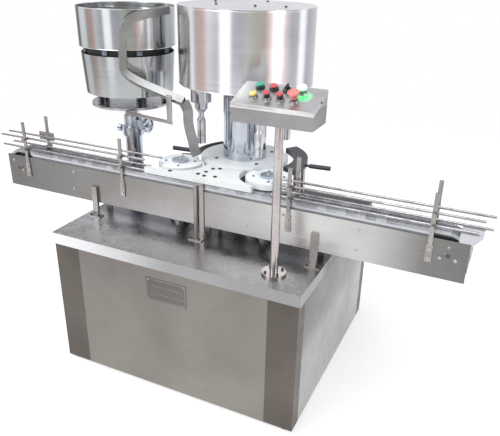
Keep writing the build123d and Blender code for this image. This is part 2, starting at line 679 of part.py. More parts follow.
def rail_clamps():
    """Cross clamps that hold the rods on the brackets, each with a round knob."""
    clamps = []
    for brackets, rod_y_place, face, out in ((FRONT_BRACKETS, ROD_FRONT_Y, PANEL_FRONT, -1),
                                             (REAR_BRACKETS, ROD_REAR_Y, PANEL_REAR, 1)):
        for x in brackets:
            for z in (ROD_HIGH, ROD_LOW):
                tip = rod_y_place - out * 2
                clamp = rod_y(7.5, x, z, min(tip, face), max(tip, face))
                clamp -= rod_x(ROD_R, rod_y_place, z, x - 20, x + 20)
                start, end = face + out * 5, face + out * 18
                knob = rod_y(8.5, x, z, min(start, end), max(start, end))
                clamps += [clamp, knob]
    sensor = block(-935, -851, PANEL_REAR - 9, PANEL_REAR - 0.5, 948, 985)
    save("rail_clamps", *clamps, sensor)


# ---- cap feeder ----
COLLAR_LOW = 977.0
COLLAR_HIGH = 1018.0
WHEEL_Z = 1030.0
WHEEL_R = 36.0


def bowl_stand():
    """Foot flange, outer tube, clamp collar and the height gear's housing."""
    place = (BOWL_X, BOWL_Y)
    stand = rod_z(80, place, TABLE_Z, TABLE_Z + 12) + rod_z(41, place, TABLE_Z, 1070)
    stand += rod_z(52, place, COLLAR_LOW, COLLAR_HIGH)
    stand += block(BOWL_X + 30, BOWL_X + 70, BOWL_Y - 20, BOWL_Y + 20, WHEEL_Z - 22, WHEEL_Z + 22)
    stand -= rod_z(LIFT_TUBE_R + RUNNING, place, TABLE_Z + 20, 1071)
    stand -= rod_x(6 + RUNNING, BOWL_Y, WHEEL_Z, BOWL_X + 45, BOWL_X + 71)
    stand -= rod_x(8 + RUNNING, BOWL_Y, 997, BOWL_X - 53, BOWL_X - 33)
    save("bowl_stand", stand)


def handwheel():
    """Height wheel: a thick rim with a web, and a crank handle."""
    x = BOWL_X + 82
    wheel = rod_x(WHEEL_R, BOWL_Y, WHEEL_Z, x, x + 12)
    wheel -= rod_x(WHEEL_R - 8, BOWL_Y, WHEEL_Z, x + 8, x + 13)
    wheel += rod_x(12, BOWL_Y, WHEEL_Z, x - 8, x + 12)
    wheel += rod_x(6, BOWL_Y, WHEEL_Z, BOWL_X + 48, x)
    wheel += rod_x(6, BOWL_Y - 20, WHEEL_Z, x + 8, x + 45)
    save("handwheel", wheel)


def clamp_knob():
    """Screw knob that locks the height."""
    knob = rod_x(8, BOWL_Y, 997, BOWL_X - 64, BOWL_X - 36)
    knob += rod_x(18, BOWL_Y, 997, BOWL_X - 84, BOWL_X - 64)
    for lobe in range(6):
        turn = math.radians(60 * lobe)
        y, z = BOWL_Y + 20 * math.cos(turn), 997 + 20 * math.sin(turn)
        knob -= rod_x(5, y, z, BOWL_X - 85, BOWL_X - 63)
    save("clamp_knob", knob)


SPRING_R = 7.0
SPRING_PITCH_R = 155.0


def bowl_base():
    """Lift tube, round base plate and five springs."""
    place = (BOWL_X, BOWL_Y)
    base = fused([
        tube_z(LIFT_TUBE_R, LIFT_TUBE_R - 4, place, 760, 1130),
        rod_z(70, place, 1118, 1130),
        rod_z(PLATE_R, place, 1130, 1140),
    ])
    springs = [rod_z(SPRING_R, around(place, SPRING_PITCH_R, -113 + 72 * step), 1140, 1190)
               for step in range(5)]
    save("bowl_base", base, *springs)


def bowl_drum():
    """Round shroud of the vibrating drive, open on top, with the drive's core in it."""
    place = (BOWL_X, BOWL_Y)
    shroud = cone_z(DRUM_SHELL_R, DRUM_TOP_R, place, 1190, DRUM_TOP)
    shroud -= cone_z(DRUM_SHELL_R - BOWL_SHEET, DRUM_TOP_R - BOWL_SHEET, place, 1196, DRUM_TOP + 0.01)
    save("bowl_drum", shroud + rod_z(80, place, 1196, BOWL_FLOOR))


def cap_bowl():
    """Slightly flared bowl for loose caps, with a low cone in the middle."""
    place = (BOWL_X, BOWL_Y)
    outer = cone_z(BOWL_LOW_R, BOWL_R, place, BOWL_FLOOR, BOWL_RIM)
    inner = cone_z(BOWL_LOW_R - BOWL_SHEET, BOWL_R - BOWL_SHEET, place,
                   BOWL_FLOOR + 4, BOWL_RIM + 0.01)
    bowl = outer - inner
    bowl += cone_z(90, 8, place, BOWL_FLOOR + 4, BOWL_FLOOR + 22)
    save("cap_bowl", bowl)


CHUTE_UPPER = (
    (-306, -10, 1553), (-316, -112, 1548), (-355, -172, 1535), (-390, -198, 1503),
    (-404, -200, 1455), (-408, -200, 1364), (-410, -200, 1298), (-142, -162, 1213),
)
CHUTE_LOWER = (
    (-142, -162, 1213), (-122, -160, 1178), (-133, -146, 1130), (-134, -131, 1082),
    (-128, -118, 1035), (-126, -112, 998), (-120, -100, 970),
)
CHUTE_WIDTH = 34.0
CHUTE_DEPTH = 30.0
DROP_WIDTH = 42.0
DROP_DEPTH = 18.0
CHUTE_WALL = 2.0
CHUTE_SPARE = 30.0
STEEP = 0.35
STEEP_ACROSS = Vector(0.5, -1, 0)
DROP_ACROSS = Vector(0.85, 0.52, 0)


def beyond(point, facing):
    """A large block on the far side of a plane through a point."""
    plane = Plane(origin=point, z_dir=facing)
    return plane.location * Pos(0, 0, 100) * Box(400, 400, 200)


def chute_channel(start, end, before, after, width, depth, across):
    """A straight length of channel, open on one side, mitred to the lengths next to it."""
    line = end - start
    frame = Plane(origin=start, x_dir=across.cross(line), z_dir=line)
    length = line.length + 2 * CHUTE_SPARE
    outer = Box(depth, width, length)
    inner = Pos(CHUTE_WALL, 0, 0) * Box(depth, width - 2 * CHUTE_WALL, length + 2)
    channel = frame.location * Pos(0, 0, line.length / 2) * (outer - inner)
    forward = line.normalized()
    channel -= beyond(start, -(forward + before.normalized()))
    return channel - beyond(end, forward + after.normalized())


def chute_lengths(places, width, depth, fixed_across):
    """The mitred lengths along one run of the chute."""
    points = [Vector(*place) for place in places]
    lines = [end - start for start, end in zip(points[:-1], points[1:])]
    lengths = []
    for index, line in enumerate(lines):
        across = line.cross(Vector(0, 0, 1))
        if fixed_across:
            across = DROP_ACROSS
        elif across.length < STEEP * line.length:
            across = STEEP_ACROSS
        before = lines[max(index - 1, 0)]
        after = lines[min(index + 1, len(lines) - 1)]
        lengths.append(chute_channel(points[index], points[index + 1], before, after,
                                     width, depth, across))
    return lengths


def cap_chute():
    """Bent channel that brings caps from the bowl's rim down to the turret."""
    upper = chute_lengths(CHUTE_UPPER, CHUTE_WIDTH, CHUTE_DEPTH, False)
    lower = chute_lengths(CHUTE_LOWER, DROP_WIDTH, DROP_DEPTH, True)
    lower[0] -= beyond(Vector(*CHUTE_UPPER[-1]), Vector(*CHUTE_UPPER[-2]) - Vector(*CHUTE_UPPER[-1]))
    save("cap_chute", *upper, *lower)


# ---- control post and box ----
def lid_place(x, y):
    """A frame on the sloping lid, its third axis square to the lid."""
    slope = math.radians(LID_SLOPE)
    z = BOX_LIP + (y - BOX_FRONT) * math.tan(slope)
    facing = Vector(0, -math.sin(slope), math.cos(slope))
    return Plane(origin=(x, y, z), x_dir=(1, 0, 0), z_dir=facing).location


def lid_rod(radius, x, y, low, high):
    """A round bar square to the lid, heights counted from the lid's face."""
    return lid_place(x, y) * Pos(0, 0, (low + high) / 2) * Cylinder(radius, high - low)


CONTROLS = (
    ("pilot_button", 272.0, -376.0), ("jog_button", 324.0, -376.0), ("reset_button", 374.0, -376.0),
    ("emergency_stop", 424.0, -376.0), ("start_button", 272.0, -318.0), ("stop_button", 325.0, -318.0),
    ("selector_switch", 376.0, -318.0), ("feeder_button", 433.0, -324.0),
)
CAPS = {
    "pilot_button": (11.0, 12.0, 19.0), "jog_button": (11.0, 12.0, 28.0),
    "reset_button": (11.0, 12.0, 28.0), "emergency_stop": (20.0, 15.0, 38.0),
    "start_button": (14.0, 12.0, 18.0), "stop_button": (14.0, 12.0, 18.0),
    "selector_switch": (11.0, 12.0, 14.0), "feeder_button": (22.0, 15.0, 32.0),
}
BUTTON_R = 11.0
COLLAR_R = 14.5


def control_post():
    """Round post with a foot flange."""
    place = (POST_X, POST_Y)
    post = tube_z(16.5, 14, place, TABLE_Z + 10, BOX_BOTTOM)
    foot = rod_z(48, place, TABLE_Z, TABLE_Z + 10)
    save("control_post", post + foot)


def control_box():
    """Wedge-shaped sheet box with a sloping face, its bottom plate and the button collars."""
    def wedge(inset, x0, x1):
        points = [(BOX_FRONT + inset, BOX_BOTTOM), (BOX_BACK - inset, BOX_BOTTOM),
                  (BOX_BACK - inset, BOX_TOP - 1.4 * inset), (BOX_FRONT + inset, BOX_LIP - inset)]
        face = make_face(Polyline(*[(0, y, z) for y, z in points], close=True))
        return Pos(x0, 0, 0) * extrude(face, amount=x1 - x0, dir=(1, 0, 0))

    shell = wedge(0, BOX_LEFT, BOX_RIGHT) - wedge(2, BOX_LEFT + 2, BOX_RIGHT - 2)
    for _, x, y in CONTROLS:
        shell -= lid_rod(BUTTON_R + 0.3, x, y, -10, 10)
    bottom = block(BOX_LEFT + 2, BOX_RIGHT - 2, BOX_FRONT + 2, BOX_BACK - 2,
                   BOX_BOTTOM, BOX_BOTTOM + 2)
    rings = [lid_rod(COLLAR_R, x, y, 0, 8) - lid_rod(BUTTON_R + 0.3, x, y, -1, 9)
             for _, x, y in CONTROLS]
    save("control_box", shell, bottom, *rings)


def controls():
    """Push buttons, two mushroom heads and a rotary selector."""
    for name, x, y in CONTROLS:
        radius, low, high = CAPS[name]
        button = lid_rod(BUTTON_R, x, y, -9, low) + lid_rod(radius, x, y, low, high)
        if name == "selector_switch":
            button += lid_place(x, y) * Pos(0, 0, 19) * Box(7, 24, 10)
        save(name, button)


def main():
    os.makedirs("parts", exist_ok=True)
    for build in (cabinet_frame, table_top, corner_trims, cabinet_panels, levelling_feet,
                  drive_plate, gearmotors, drive_pinion, pedestals, main_shaft, main_star,
                  turret_column, head_carrier, head_sleeves, drum_cover, mast, sun_gear,
                  capping_heads, small_stars, centre_guide, outer_guides, guide_posts,
                  slat_chain, conveyor_panels, wear_strips, conveyor_bearings,
                  conveyor_shafts, conveyor_posts, rail_brackets, guide_rails, rail_clamps,
                  bowl_stand, handwheel, clamp_knob, bowl_base, bowl_drum, cap_bowl,
                  cap_chute, control_post, control_box, controls):
        build()


main()
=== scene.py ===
"""Looks of the capping machine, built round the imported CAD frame.

Metres, row frame: origin on the floor, +X is the way the containers travel, -Y is the
operator's side, +Z is up.
"""
import bpy
import bmesh
import math
from mathutils import Matrix, Vector


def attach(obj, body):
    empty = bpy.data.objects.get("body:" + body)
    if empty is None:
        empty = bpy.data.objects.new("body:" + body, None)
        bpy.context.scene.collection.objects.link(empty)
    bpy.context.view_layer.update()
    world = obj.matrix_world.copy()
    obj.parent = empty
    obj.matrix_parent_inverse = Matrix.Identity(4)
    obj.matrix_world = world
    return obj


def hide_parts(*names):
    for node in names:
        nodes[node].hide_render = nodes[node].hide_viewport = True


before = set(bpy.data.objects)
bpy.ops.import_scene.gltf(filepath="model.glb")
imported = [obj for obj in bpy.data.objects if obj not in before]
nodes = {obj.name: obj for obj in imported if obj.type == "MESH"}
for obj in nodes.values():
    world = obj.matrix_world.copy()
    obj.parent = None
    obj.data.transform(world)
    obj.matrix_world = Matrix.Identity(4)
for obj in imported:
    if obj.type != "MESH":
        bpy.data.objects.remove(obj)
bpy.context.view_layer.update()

MM = 0.001
UP = Vector((0, 0, 1))
FRONT = Vector((0, -1, 0))
REAR = Vector((0, 1, 0))
RIGHT = Vector((1, 0, 0))
LEFT = Vector((-1, 0, 0))


# ---------------------------------------------------------------- places the pieces are set out from
# Upright axes in metres. The small stars stand STAR_REACH to either side and in front of the turret
TURRET = (0.022, 0.089)
STAR_REACH = 0.3 * math.cos(math.radians(45))
INFEED = (TURRET[0] - STAR_REACH, TURRET[1] - STAR_REACH)
OUTFEED = (TURRET[0] + STAR_REACH, TURRET[1] - STAR_REACH)
BOWL = (-0.539, 0.020)
CONTROL_POST = (0.385, -0.401)

# Heights in metres
TABLE_TOP = 0.665
STAR_TOP = 0.937
BASE_TOP = 1.140
DRUM_LOW = 1.190
CHAIN_PITCH = 0.03795

# The control box's lid, in mm: its front edge, its ends and its slope
LID_FRONT = -424
LID_LOW = 1304
LID_LEFT = 205
LID_RIGHT = 513
LID_SLOPE = math.atan2(51, 139)
LID_NORMAL = Vector((0, -math.sin(LID_SLOPE), math.cos(LID_SLOPE)))

# Faces of the conveyor's side panels and of the rail brackets on them, in mm
PANEL_FRONT, PANEL_REAR = -266, -180
BRACKET_FRONT, BRACKET_REAR = -271, -175

# Fastener heads: radius and height in metres
PANEL_BOLT = (0.0052, 0.0036)
BRACKET_BOLT = (0.0055, 0.0045)
POST_SCREW = (0.0055, 0.006)
STAND_SCREW = (0.007, 0.008)
FOOT_SCREW = (0.0045, 0.0045)
GUIDE_SCREW = (0.0082, 0.0034)
MAIN_STAR_SCREW = (0.008, 0.003)
STAR_SCREW = (0.0055, 0.003)
HUB_BOLT = (0.009, 0.007)
DRUM_BOLT = (0.0055, 0.005)
CHUTE_BOLT = (0.005, 0.004)
LID_SCREW = (0.0035, 0.0024)


# ---------------------------------------------------------------- camera and light
CAMERA_PLACE = (1.1146, -2.2131, 1.7700)
CAMERA_YAW = 24.721
CAMERA_PITCH = 24.273
CAMERA_ROLL = -1.201
CAMERA_LENS = 41.96

# World brightness and tint by compass direction, in degrees, as soft upright bands
STUDIO_BANDS = (
    (-180, (0.90, 0.90, 0.92)), (-164, (0.88, 0.88, 0.90)), (-158, (0.45, 0.44, 0.46)),
    (-150, (0.55, 0.38, 0.34)), (-139, (0.60, 0.42, 0.38)), (-132, (0.72, 0.70, 0.73)),
    (-112, (0.46, 0.46, 0.50)), (-106, (1.35, 1.35, 1.36)), (-93, (1.35, 1.35, 1.36)),
    (-88, (0.50, 0.49, 0.55)), (-72, (0.46, 0.46, 0.50)), (-64, (0.50, 0.53, 0.48)),
    (-46, (0.44, 0.44, 0.38)), (-36, (0.46, 0.38, 0.34)), (-25, (0.85, 0.66, 0.64)),
    (-19, (1.40, 1.36, 1.35)), (-6, (1.25, 1.20, 1.20)), (2, (0.72, 0.62, 0.62)),
    (14, (0.46, 0.46, 0.52)), (28, (0.50, 0.50, 0.55)), (33, (1.20, 1.20, 1.24)),
    (44, (1.10, 1.10, 1.14)), (52, (0.46, 0.46, 0.52)), (80, (0.62, 0.62, 0.66)),
    (110, (0.78, 0.78, 0.82)), (140, (0.62, 0.62, 0.66)), (152, (0.22, 0.21, 0.22)),
    (166, (0.24, 0.22, 0.22)), (174, (0.85, 0.85, 0.87)),
)


def make_camera():
    """A camera at standing eye height, in front of the machine and to its right."""
    yaw, pitch, roll = (math.radians(v) for v in (CAMERA_YAW, CAMERA_PITCH, CAMERA_ROLL))
    forward = Vector((-math.sin(yaw) * math.cos(pitch), math.cos(yaw) * math.cos(pitch),
                      -math.sin(pitch)))
    level = Vector((math.cos(yaw), math.sin(yaw), 0))
    below = forward.cross(level)
    across = math.cos(roll) * level + math.sin(roll) * below
    below = math.cos(roll) * below - math.sin(roll) * level
    turn = Matrix((across, -below, -forward)).transposed()
    camera = bpy.data.objects.new("camera", bpy.data.cameras.new("camera"))
    bpy.context.scene.collection.objects.link(camera)
    camera.matrix_world = Matrix.Translation(Vector(CAMERA_PLACE)) @ turn.to_4x4()
    camera.data.lens = CAMERA_LENS
    camera.data.sensor_width = 36.0
    camera.data.clip_end = 200.0
    bpy.context.scene.camera = camera


def make_world():
    """White to the eye; reflections see soft upright bands under a plain ceiling."""
    world = bpy.data.worlds.new("studio")
    bpy.context.scene.world = world
    world.use_nodes = True
    tree = world.node_tree
    tree.nodes.clear()

    def add(kind, *sources):
        """A node with its first inputs linked, or set where a plain value is given."""
        node = tree.nodes.new(kind)
        for socket, source in zip(node.inputs, sources):
            if isinstance(source, bpy.types.NodeSocket):
                tree.links.new(source, socket)
            else:
                socket.default_value = source
        return node

    place = add("ShaderNodeTexCoord")
    split = add("ShaderNodeSeparateXYZ", place.outputs["Generated"])
    angle = add("ShaderNodeMath", split.outputs["Y"], split.outputs["X"])
    angle.operation = "ARCTAN2"
    turn = add("ShaderNodeMath", angle.outputs[0], 1 / (2 * math.pi), 0.5)
    turn.operation = "MULTIPLY_ADD"
    bands = add("ShaderNodeValToRGB", turn.outputs[0])
    bands.color_ramp.interpolation = "EASE"
    stops = bands.color_ramp.elements
    for index, (degrees, colour) in enumerate(STUDIO_BANDS):
        position = (degrees + 180) / 360
        stop = stops[index] if index < 2 else stops.new(position)
        stop.position = position
        stop.color = (*colour, 1)

    lift = add("ShaderNodeMapRange", split.outputs["Z"], 0.35, 0.85)
    ceiling = add("ShaderNodeMix", lift.outputs[0])
    ceiling.data_type = "RGBA"
    tree.links.new(bands.outputs[0], ceiling.inputs[6])
    ceiling.inputs[7].default_value = (0.80, 0.81, 0.84, 1)
    studio = add("ShaderNodeBackground", ceiling.outputs[2])
    plain = add("ShaderNodeBackground", (1.0, 1.0, 1.0, 1))
    seen = add("ShaderNodeLightPath")
    both = add("ShaderNodeMixShader", seen.outputs["Is Camera Ray"], studio.outputs[0],
               plain.outputs[0])
    add("ShaderNodeOutputWorld", both.outputs[0])


def make_lights():
    """One broad overhead light and two large soft boxes."""
    data = bpy.data.lights.new("overhead", "SUN")
    data.energy = 2.2
    data.angle = math.radians(50)
    lamp = bpy.data.objects.new("overhead", data)
    lamp.rotation_euler = (math.radians(22), math.radians(-18), 0)
    bpy.context.scene.collection.objects.link(lamp)
    for name, place, aim, size, power in (
        ("front_softbox", (-1.6, -3.2, 2.6), (0, 0, 0.8), 1.6, 26),
        ("right_softbox", (3.0, -0.8, 2.4), (0, 0, 0.9), 1.4, 18),
    ):
        data = bpy.data.lights.new(name, "AREA")
        data.energy = power
        data.size = size
        lamp = bpy.data.objects.new(name, data)
        lamp.location = place
        lamp.rotation_mode = "QUATERNION"
        lamp.rotation_quaternion = (Vector(place) - Vector(aim)).to_track_quat("Z", "Y")
        bpy.context.scene.collection.objects.link(lamp)


# ---------------------------------------------------------------- procedural surfaces
class Surface:
    """One material: a Principled shader with nodes that read the piece's own coordinates."""

    def __init__(self, name, metallic, roughness, colour):
        self.material = bpy.data.materials.new(name)
        self.material.use_nodes = True
        self.material.diffuse_color = (*colour, 1)
        self.tree = self.material.node_tree
        self.shader = self.tree.nodes["Principled BSDF"]
        self.set("Metallic", metallic)
        self.set("Roughness", roughness)
        self.set("Base Color", (*colour, 1))
        self.place = self.tree.nodes.new("ShaderNodeTexCoord").outputs["Object"]

    def set(self, socket, value):
        self.shader.inputs[socket].default_value = value

    def add(self, kind, **values):
        node = self.tree.nodes.new(kind)
        for key, value in values.items():
            setattr(node, key, value)
        return node

    def feed(self, source, socket):
        self.tree.links.new(source, self.shader.inputs[socket])

    def stretched(self, scale):
        """Object coordinates multiplied axis by axis."""
        node = self.add("ShaderNodeMapping")
        node.inputs["Scale"].default_value = scale
        self.tree.links.new(self.place, node.inputs[0])
        return node.outputs[0]

    def cylinder(self, centre, turns, rise):
        """Coordinates of angle round an upright axis and of height."""
        shift = self.add("ShaderNodeVectorMath", operation="SUBTRACT")
        shift.inputs[1].default_value = (*centre, 0)
        self.tree.links.new(self.place, shift.inputs[0])
        split = self.add("ShaderNodeSeparateXYZ")
        self.tree.links.new(shift.outputs[0], split.inputs[0])
        join = self.add("ShaderNodeCombineXYZ")
        angle = self.sum("ARCTAN2", split.outputs["Y"], split.outputs["X"])
        self.tree.links.new(self.sum("MULTIPLY", angle, turns), join.inputs[0])
        self.tree.links.new(self.sum("MULTIPLY", split.outputs["Z"], rise), join.inputs[1])
        return join.outputs[0]

    def noise(self, vector, scale, detail=2.0, rough=0.5, warp=0.0):
        node = self.add("ShaderNodeTexNoise")
        node.inputs["Scale"].default_value = scale
        node.inputs["Detail"].default_value = detail
        node.inputs["Roughness"].default_value = rough
        node.inputs["Distortion"].default_value = warp
        self.tree.links.new(vector, node.inputs["Vector"])
        return node.outputs[0]

    def sum(self, operation, a, b=0.0, c=0.0):
        node = self.add("ShaderNodeMath", operation=operation)
        for socket, value in zip(node.inputs, (a, b, c)):
            if isinstance(value, (int, float)):
                socket.default_value = value
            else:
                self.tree.links.new(value, socket)
        return node.outputs[0]

    def span(self, factor, low, high, to_low=0.0, to_high=1.0):
        node = self.add("ShaderNodeMapRange")
        for socket, value in zip(("From Min", "From Max", "To Min", "To Max"),
                                 (low, high, to_low, to_high)):
            node.inputs[socket].default_value = value
        self.tree.links.new(factor, node.inputs["Value"])
        return node.outputs[0]

    def axis(self, name):
        split = self.add("ShaderNodeSeparateXYZ")
        self.tree.links.new(self.place, split.inputs[0])
        return split.outputs[name]

    def ramp(self, factor, *stops):
        node = self.add("ShaderNodeValToRGB")
        elements = node.color_ramp.elements
        for index, (position, colour) in enumerate(stops):
            element = elements[index] if index < 2 else elements.new(position)
            element.position = position
            element.color = (*colour, 1)
        self.tree.links.new(factor, node.inputs[0])
        return node.outputs[0]

    def mix(self, factor, a, b, blend="MIX"):
        node = self.add("ShaderNodeMix", data_type="RGBA", blend_type=blend)
        for socket, value in ((node.inputs[0], factor), (node.inputs[6], a), (node.inputs[7], b)):
            if isinstance(value, (int, float)):
                socket.default_value = value
            elif isinstance(value, tuple):
                socket.default_value = (*value, 1)
            else:
                self.tree.links.new(value, socket)
        return node.outputs[2]

    def bump(self, height, distance, strength=1.0, under=None):
        node = self.add("ShaderNodeBump")
        node.inputs["Distance"].default_value = distance
        node.inputs["Strength"].default_value = strength
        self.tree.links.new(height, node.inputs["Height"])
        if under is not None:
            self.tree.links.new(under, node.inputs["Normal"])
        return node.outputs[0]


def shade(colour, factor):
    """A colour made lighter or darker."""
    return tuple(min(1.0, c * factor) for c in colour)


def brushed(name, colour, rough, grain, patch=3.0, contrast=0.16, relief=0.00012, dents=0.0,
            tints=None):
    """Sheet steel with a directional grain, clouded patches, faint scratches and handling marks."""
    s = Surface(name, 1.0, rough, colour)
    fine = s.noise(s.stretched(grain), 1.0, 3.0, 0.65)
    broad = s.noise(s.stretched(tuple(0.32 * g for g in grain)), 1.0, 2.0, 0.55)
    cloud = s.noise(s.place, patch, 3.0, 0.5, 0.6)
    smear = s.noise(s.place, patch * 7, 2.0, 0.5)
    low, high = tints or (shade(colour, 1 - contrast), shade(colour, 1 + contrast))
    tone = s.ramp(cloud, (0.32, low), (0.68, high))
    streak = s.sum("ADD", s.sum("MULTIPLY", fine, 0.55), s.sum("MULTIPLY", broad, 0.45))
    tone = s.mix(0.55, tone, s.ramp(streak, (0.30, (0.66, 0.66, 0.66)), (0.70, (1.0, 1.0, 1.0))),
                 "MULTIPLY")
    s.feed(tone, "Base Color")
    wear = s.sum("ADD", s.span(streak, 0.3, 0.7, -0.05, 0.06), s.span(smear, 0.35, 0.7, -0.04, 0.07))
    s.feed(s.sum("ADD", wear, rough), "Roughness")
    normal = s.bump(streak, relief)
    if dents:
        wave = s.noise(s.place, 2.3, 1.0, 0.4)
        normal = s.bump(wave, dents, 1.0, normal)
    s.feed(normal, "Normal")
    return s


def graded(surface, axis, low, high, *stops):
    """Multiplies a surface's colour by a grey ramp along one axis of the machine, making it lighter or
    darker by place. Most calls use it as painted shade, painted light and painted reflection; the comment
    at each call says what it does there.
    """
    place = surface.span(surface.axis(axis), low, high)
    colour = surface.shader.inputs["Base Color"].links[0].from_socket
    tone = surface.ramp(place, *[(at, (v, v, v)) for at, v in stops])
    surface.feed(surface.mix(1.0, colour, tone, "MULTIPLY"), "Base Color")
    return surface


def painted_lamp_glow(surface, centre, reach, colour, strength):
    """Painted light: the sheet itself emits a lamp's colour round a spot on the lid, fading away from it,
    standing for the light of the lamp beside it.
    """
    east = surface.sum("DIVIDE", surface.sum("SUBTRACT", surface.axis("X"), centre[0]), reach)
    north = surface.sum("DIVIDE", surface.sum("SUBTRACT", surface.axis("Y"), centre[1]), reach)
    spread = surface.sum("ADD", surface.sum("MULTIPLY", east, east),
                         surface.sum("MULTIPLY", north, north))
    top = surface.span(surface.axis("Z"), LID_LOW * MM, (LID_LOW + 2) * MM)
    fade = surface.sum("MULTIPLY", surface.span(spread, 0.0, 1.0, strength, 0.0), top)
    surface.set("Emission Color", (*colour, 1))
    surface.feed(fade, "Emission Strength")
    return surface


def turned(name, colour, rough, centre, relief=0.00004, contrast=0.10, long=0.35):
    """Round polished steel with a grain that runs round an upright axis."""
    s = Surface(name, 1.0, rough, colour)
    fine = s.noise(s.cylinder(centre, long * 3, 900.0), 1.0, 3.0, 0.6)
    soft = s.noise(s.cylinder(centre, long, 120.0), 1.0, 2.0, 0.5)
    cloud = s.noise(s.place, 4.0, 3.0, 0.55, 0.5)
    tone = s.ramp(cloud, (0.30, shade(colour, 1 - contrast)), (0.70, shade(colour, 1 + contrast * 0.6)))
    streak = s.sum("ADD", s.sum("MULTIPLY", fine, 0.6), s.sum("MULTIPLY", soft, 0.4))
    tone = s.mix(0.35, tone, s.ramp(streak, (0.30, (0.78, 0.78, 0.78)), (0.65, (1, 1, 1))), "MULTIPLY")
    s.feed(tone, "Base Color")
    wear = s.sum("ADD", s.span(streak, 0.3, 0.7, -0.03, 0.04), s.span(cloud, 0.3, 0.7, -0.02, 0.04))
    s.feed(s.sum("ADD", wear, rough), "Roughness")
    s.feed(s.bump(streak, relief), "Normal")
    s.set("Anisotropic", 0.5)
    s.set("Anisotropic Rotation", 0.25)
    tangent = s.add("ShaderNodeTangent", direction_type="RADIAL", axis="Z")
    s.feed(tangent.outputs[0], "Tangent")
    return s


def machined(name, colour, rough, scale=380.0, relief=0.00005):
    """Turned or ground steel with fine isotropic tool marks and dull stains."""
    s = Surface(name, 1.0, rough, colour)
    marks = s.noise(s.place, scale, 3.0, 0.6)
    stain = s.noise(s.place, 26.0, 4.0, 0.6, 0.8)
    tone = s.ramp(stain, (0.30, shade(colour, 0.72)), (0.62, shade(colour, 1.12)))
    s.feed(s.mix(0.3, tone, s.ramp(marks, (0.3, (0.7, 0.7, 0.7)), (0.7, (1, 1, 1))), "MULTIPLY"),
           "Base Color")
    s.feed(s.sum("ADD", s.span(stain, 0.3, 0.7, 0.10, -0.06), rough), "Roughness")
    s.feed(s.bump(marks, relief), "Normal")
    return s


def moulded(name, colour, rough, speckle=900.0, relief=0.00006, scuff=None, clear=0.0, through=0.0):
    """Moulded or machined plastic: fine texture, tone drift, scuffs."""
    s = Surface(name, 0.0, rough, colour)
    grain = s.noise(s.place, speckle, 2.0, 0.6)
    drift = s.noise(s.place, 9.0, 3.0, 0.5, 0.4)
    marks = s.noise(s.stretched((60.0, 220.0, 60.0)), 1.0, 4.0, 0.7, 1.2)
    tone = s.ramp(drift, (0.30, shade(colour, 0.90)), (0.70, shade(colour, 1.06)))
    tone = s.mix(s.span(marks, 0.60, 0.74, 0.0, 0.45), tone, scuff or shade(colour, 0.80))
    s.feed(tone, "Base Color")
    s.feed(s.sum("ADD", s.span(marks, 0.45, 0.75, -0.05, 0.16), rough), "Roughness")
    s.feed(s.bump(grain, relief, 1.0), "Normal")
    s.set("Coat Weight", clear)
    s.set("Subsurface Weight", through)
    s.set("Subsurface Scale", 0.004)
    return s


def chain_surface():
    """Slat chain: each plate has its own tone, with grime and scratches along the travel."""
    s = Surface("chain_steel", 1.0, 0.34, (0.52, 0.55, 0.60))
    plate = s.sum("FLOOR", s.sum("DIVIDE", s.axis("X"), CHAIN_PITCH))
    scatter = s.add("ShaderNodeTexWhiteNoise", noise_dimensions="1D")
    s.tree.links.new(plate, scatter.inputs["W"])
    tone = s.ramp(scatter.outputs["Value"], (0.0, (0.32, 0.335, 0.36)), (1.0, (0.52, 0.535, 0.56)))
    grime = s.noise(s.place, 60.0, 4.0, 0.65, 0.5)
    tone = s.mix(s.span(grime, 0.48, 0.72, 0.0, 0.55), tone, (0.20, 0.20, 0.21))
    s.feed(tone, "Base Color")
    scratch = s.noise(s.stretched((30.0, 1500.0, 300.0)), 1.0, 3.0, 0.6)
    s.feed(s.sum("ADD", s.span(scratch, 0.35, 0.7, -0.08, 0.12), 0.32), "Roughness")
    s.feed(s.bump(scratch, 0.00008), "Normal")
    return s


def plate_surface(name, cold, warm):
    """White polyethylene plate: drifting tone, faint cutter marks and grey rub marks."""
    s = Surface(name, 0.0, 0.42, warm)
    drift = s.noise(s.place, 5.0, 3.0, 0.5, 0.3)
    tone = s.ramp(drift, (0.32, cold), (0.68, warm))
    rub = s.noise(s.stretched((38.0, 90.0, 38.0)), 1.0, 5.0, 0.7, 1.5)
    tone = s.mix(s.span(rub, 0.56, 0.74, 0.0, 0.5), tone, (0.50, 0.52, 0.54))
    s.feed(tone, "Base Color")
    cutter = s.noise(s.stretched((500.0, 60.0, 500.0)), 1.0, 2.0, 0.5)
    s.feed(s.sum("ADD", s.span(cutter, 0.3, 0.7, -0.06, 0.10), 0.38), "Roughness")
    s.feed(s.bump(cutter, 0.00012), "Normal")
    s.set("Subsurface Weight", 0.12)
    s.set("Subsurface Scale", 0.006)
    return s


def base_surface():
    """Bowl base: bright steel, with the short posts under the drum in black rubber."""
    s = brushed("bowl_base_steel", (0.50, 0.51, 0.54), 0.24, (60.0, 60.0, 60.0), 3.0,
                relief=0.00002)
    height = s.axis("Z")
    margin = 0.0002
    rubber = s.sum("MULTIPLY", s.sum("GREATER_THAN", height, BASE_TOP + margin),
                   s.sum("LESS_THAN", height, DRUM_LOW - margin))
    colour = s.shader.inputs["Base Color"].links[0].from_socket
    s.feed(s.mix(rubber, colour, (0.02, 0.02, 0.022)), "Base Color")
    s.feed(s.sum("SUBTRACT", 1.0, rubber), "Metallic")
    rough = s.shader.inputs["Roughness"].links[0].from_socket
    s.feed(s.sum("MAXIMUM", rough, s.sum("MULTIPLY", rubber, 0.62)), "Roughness")
    return s


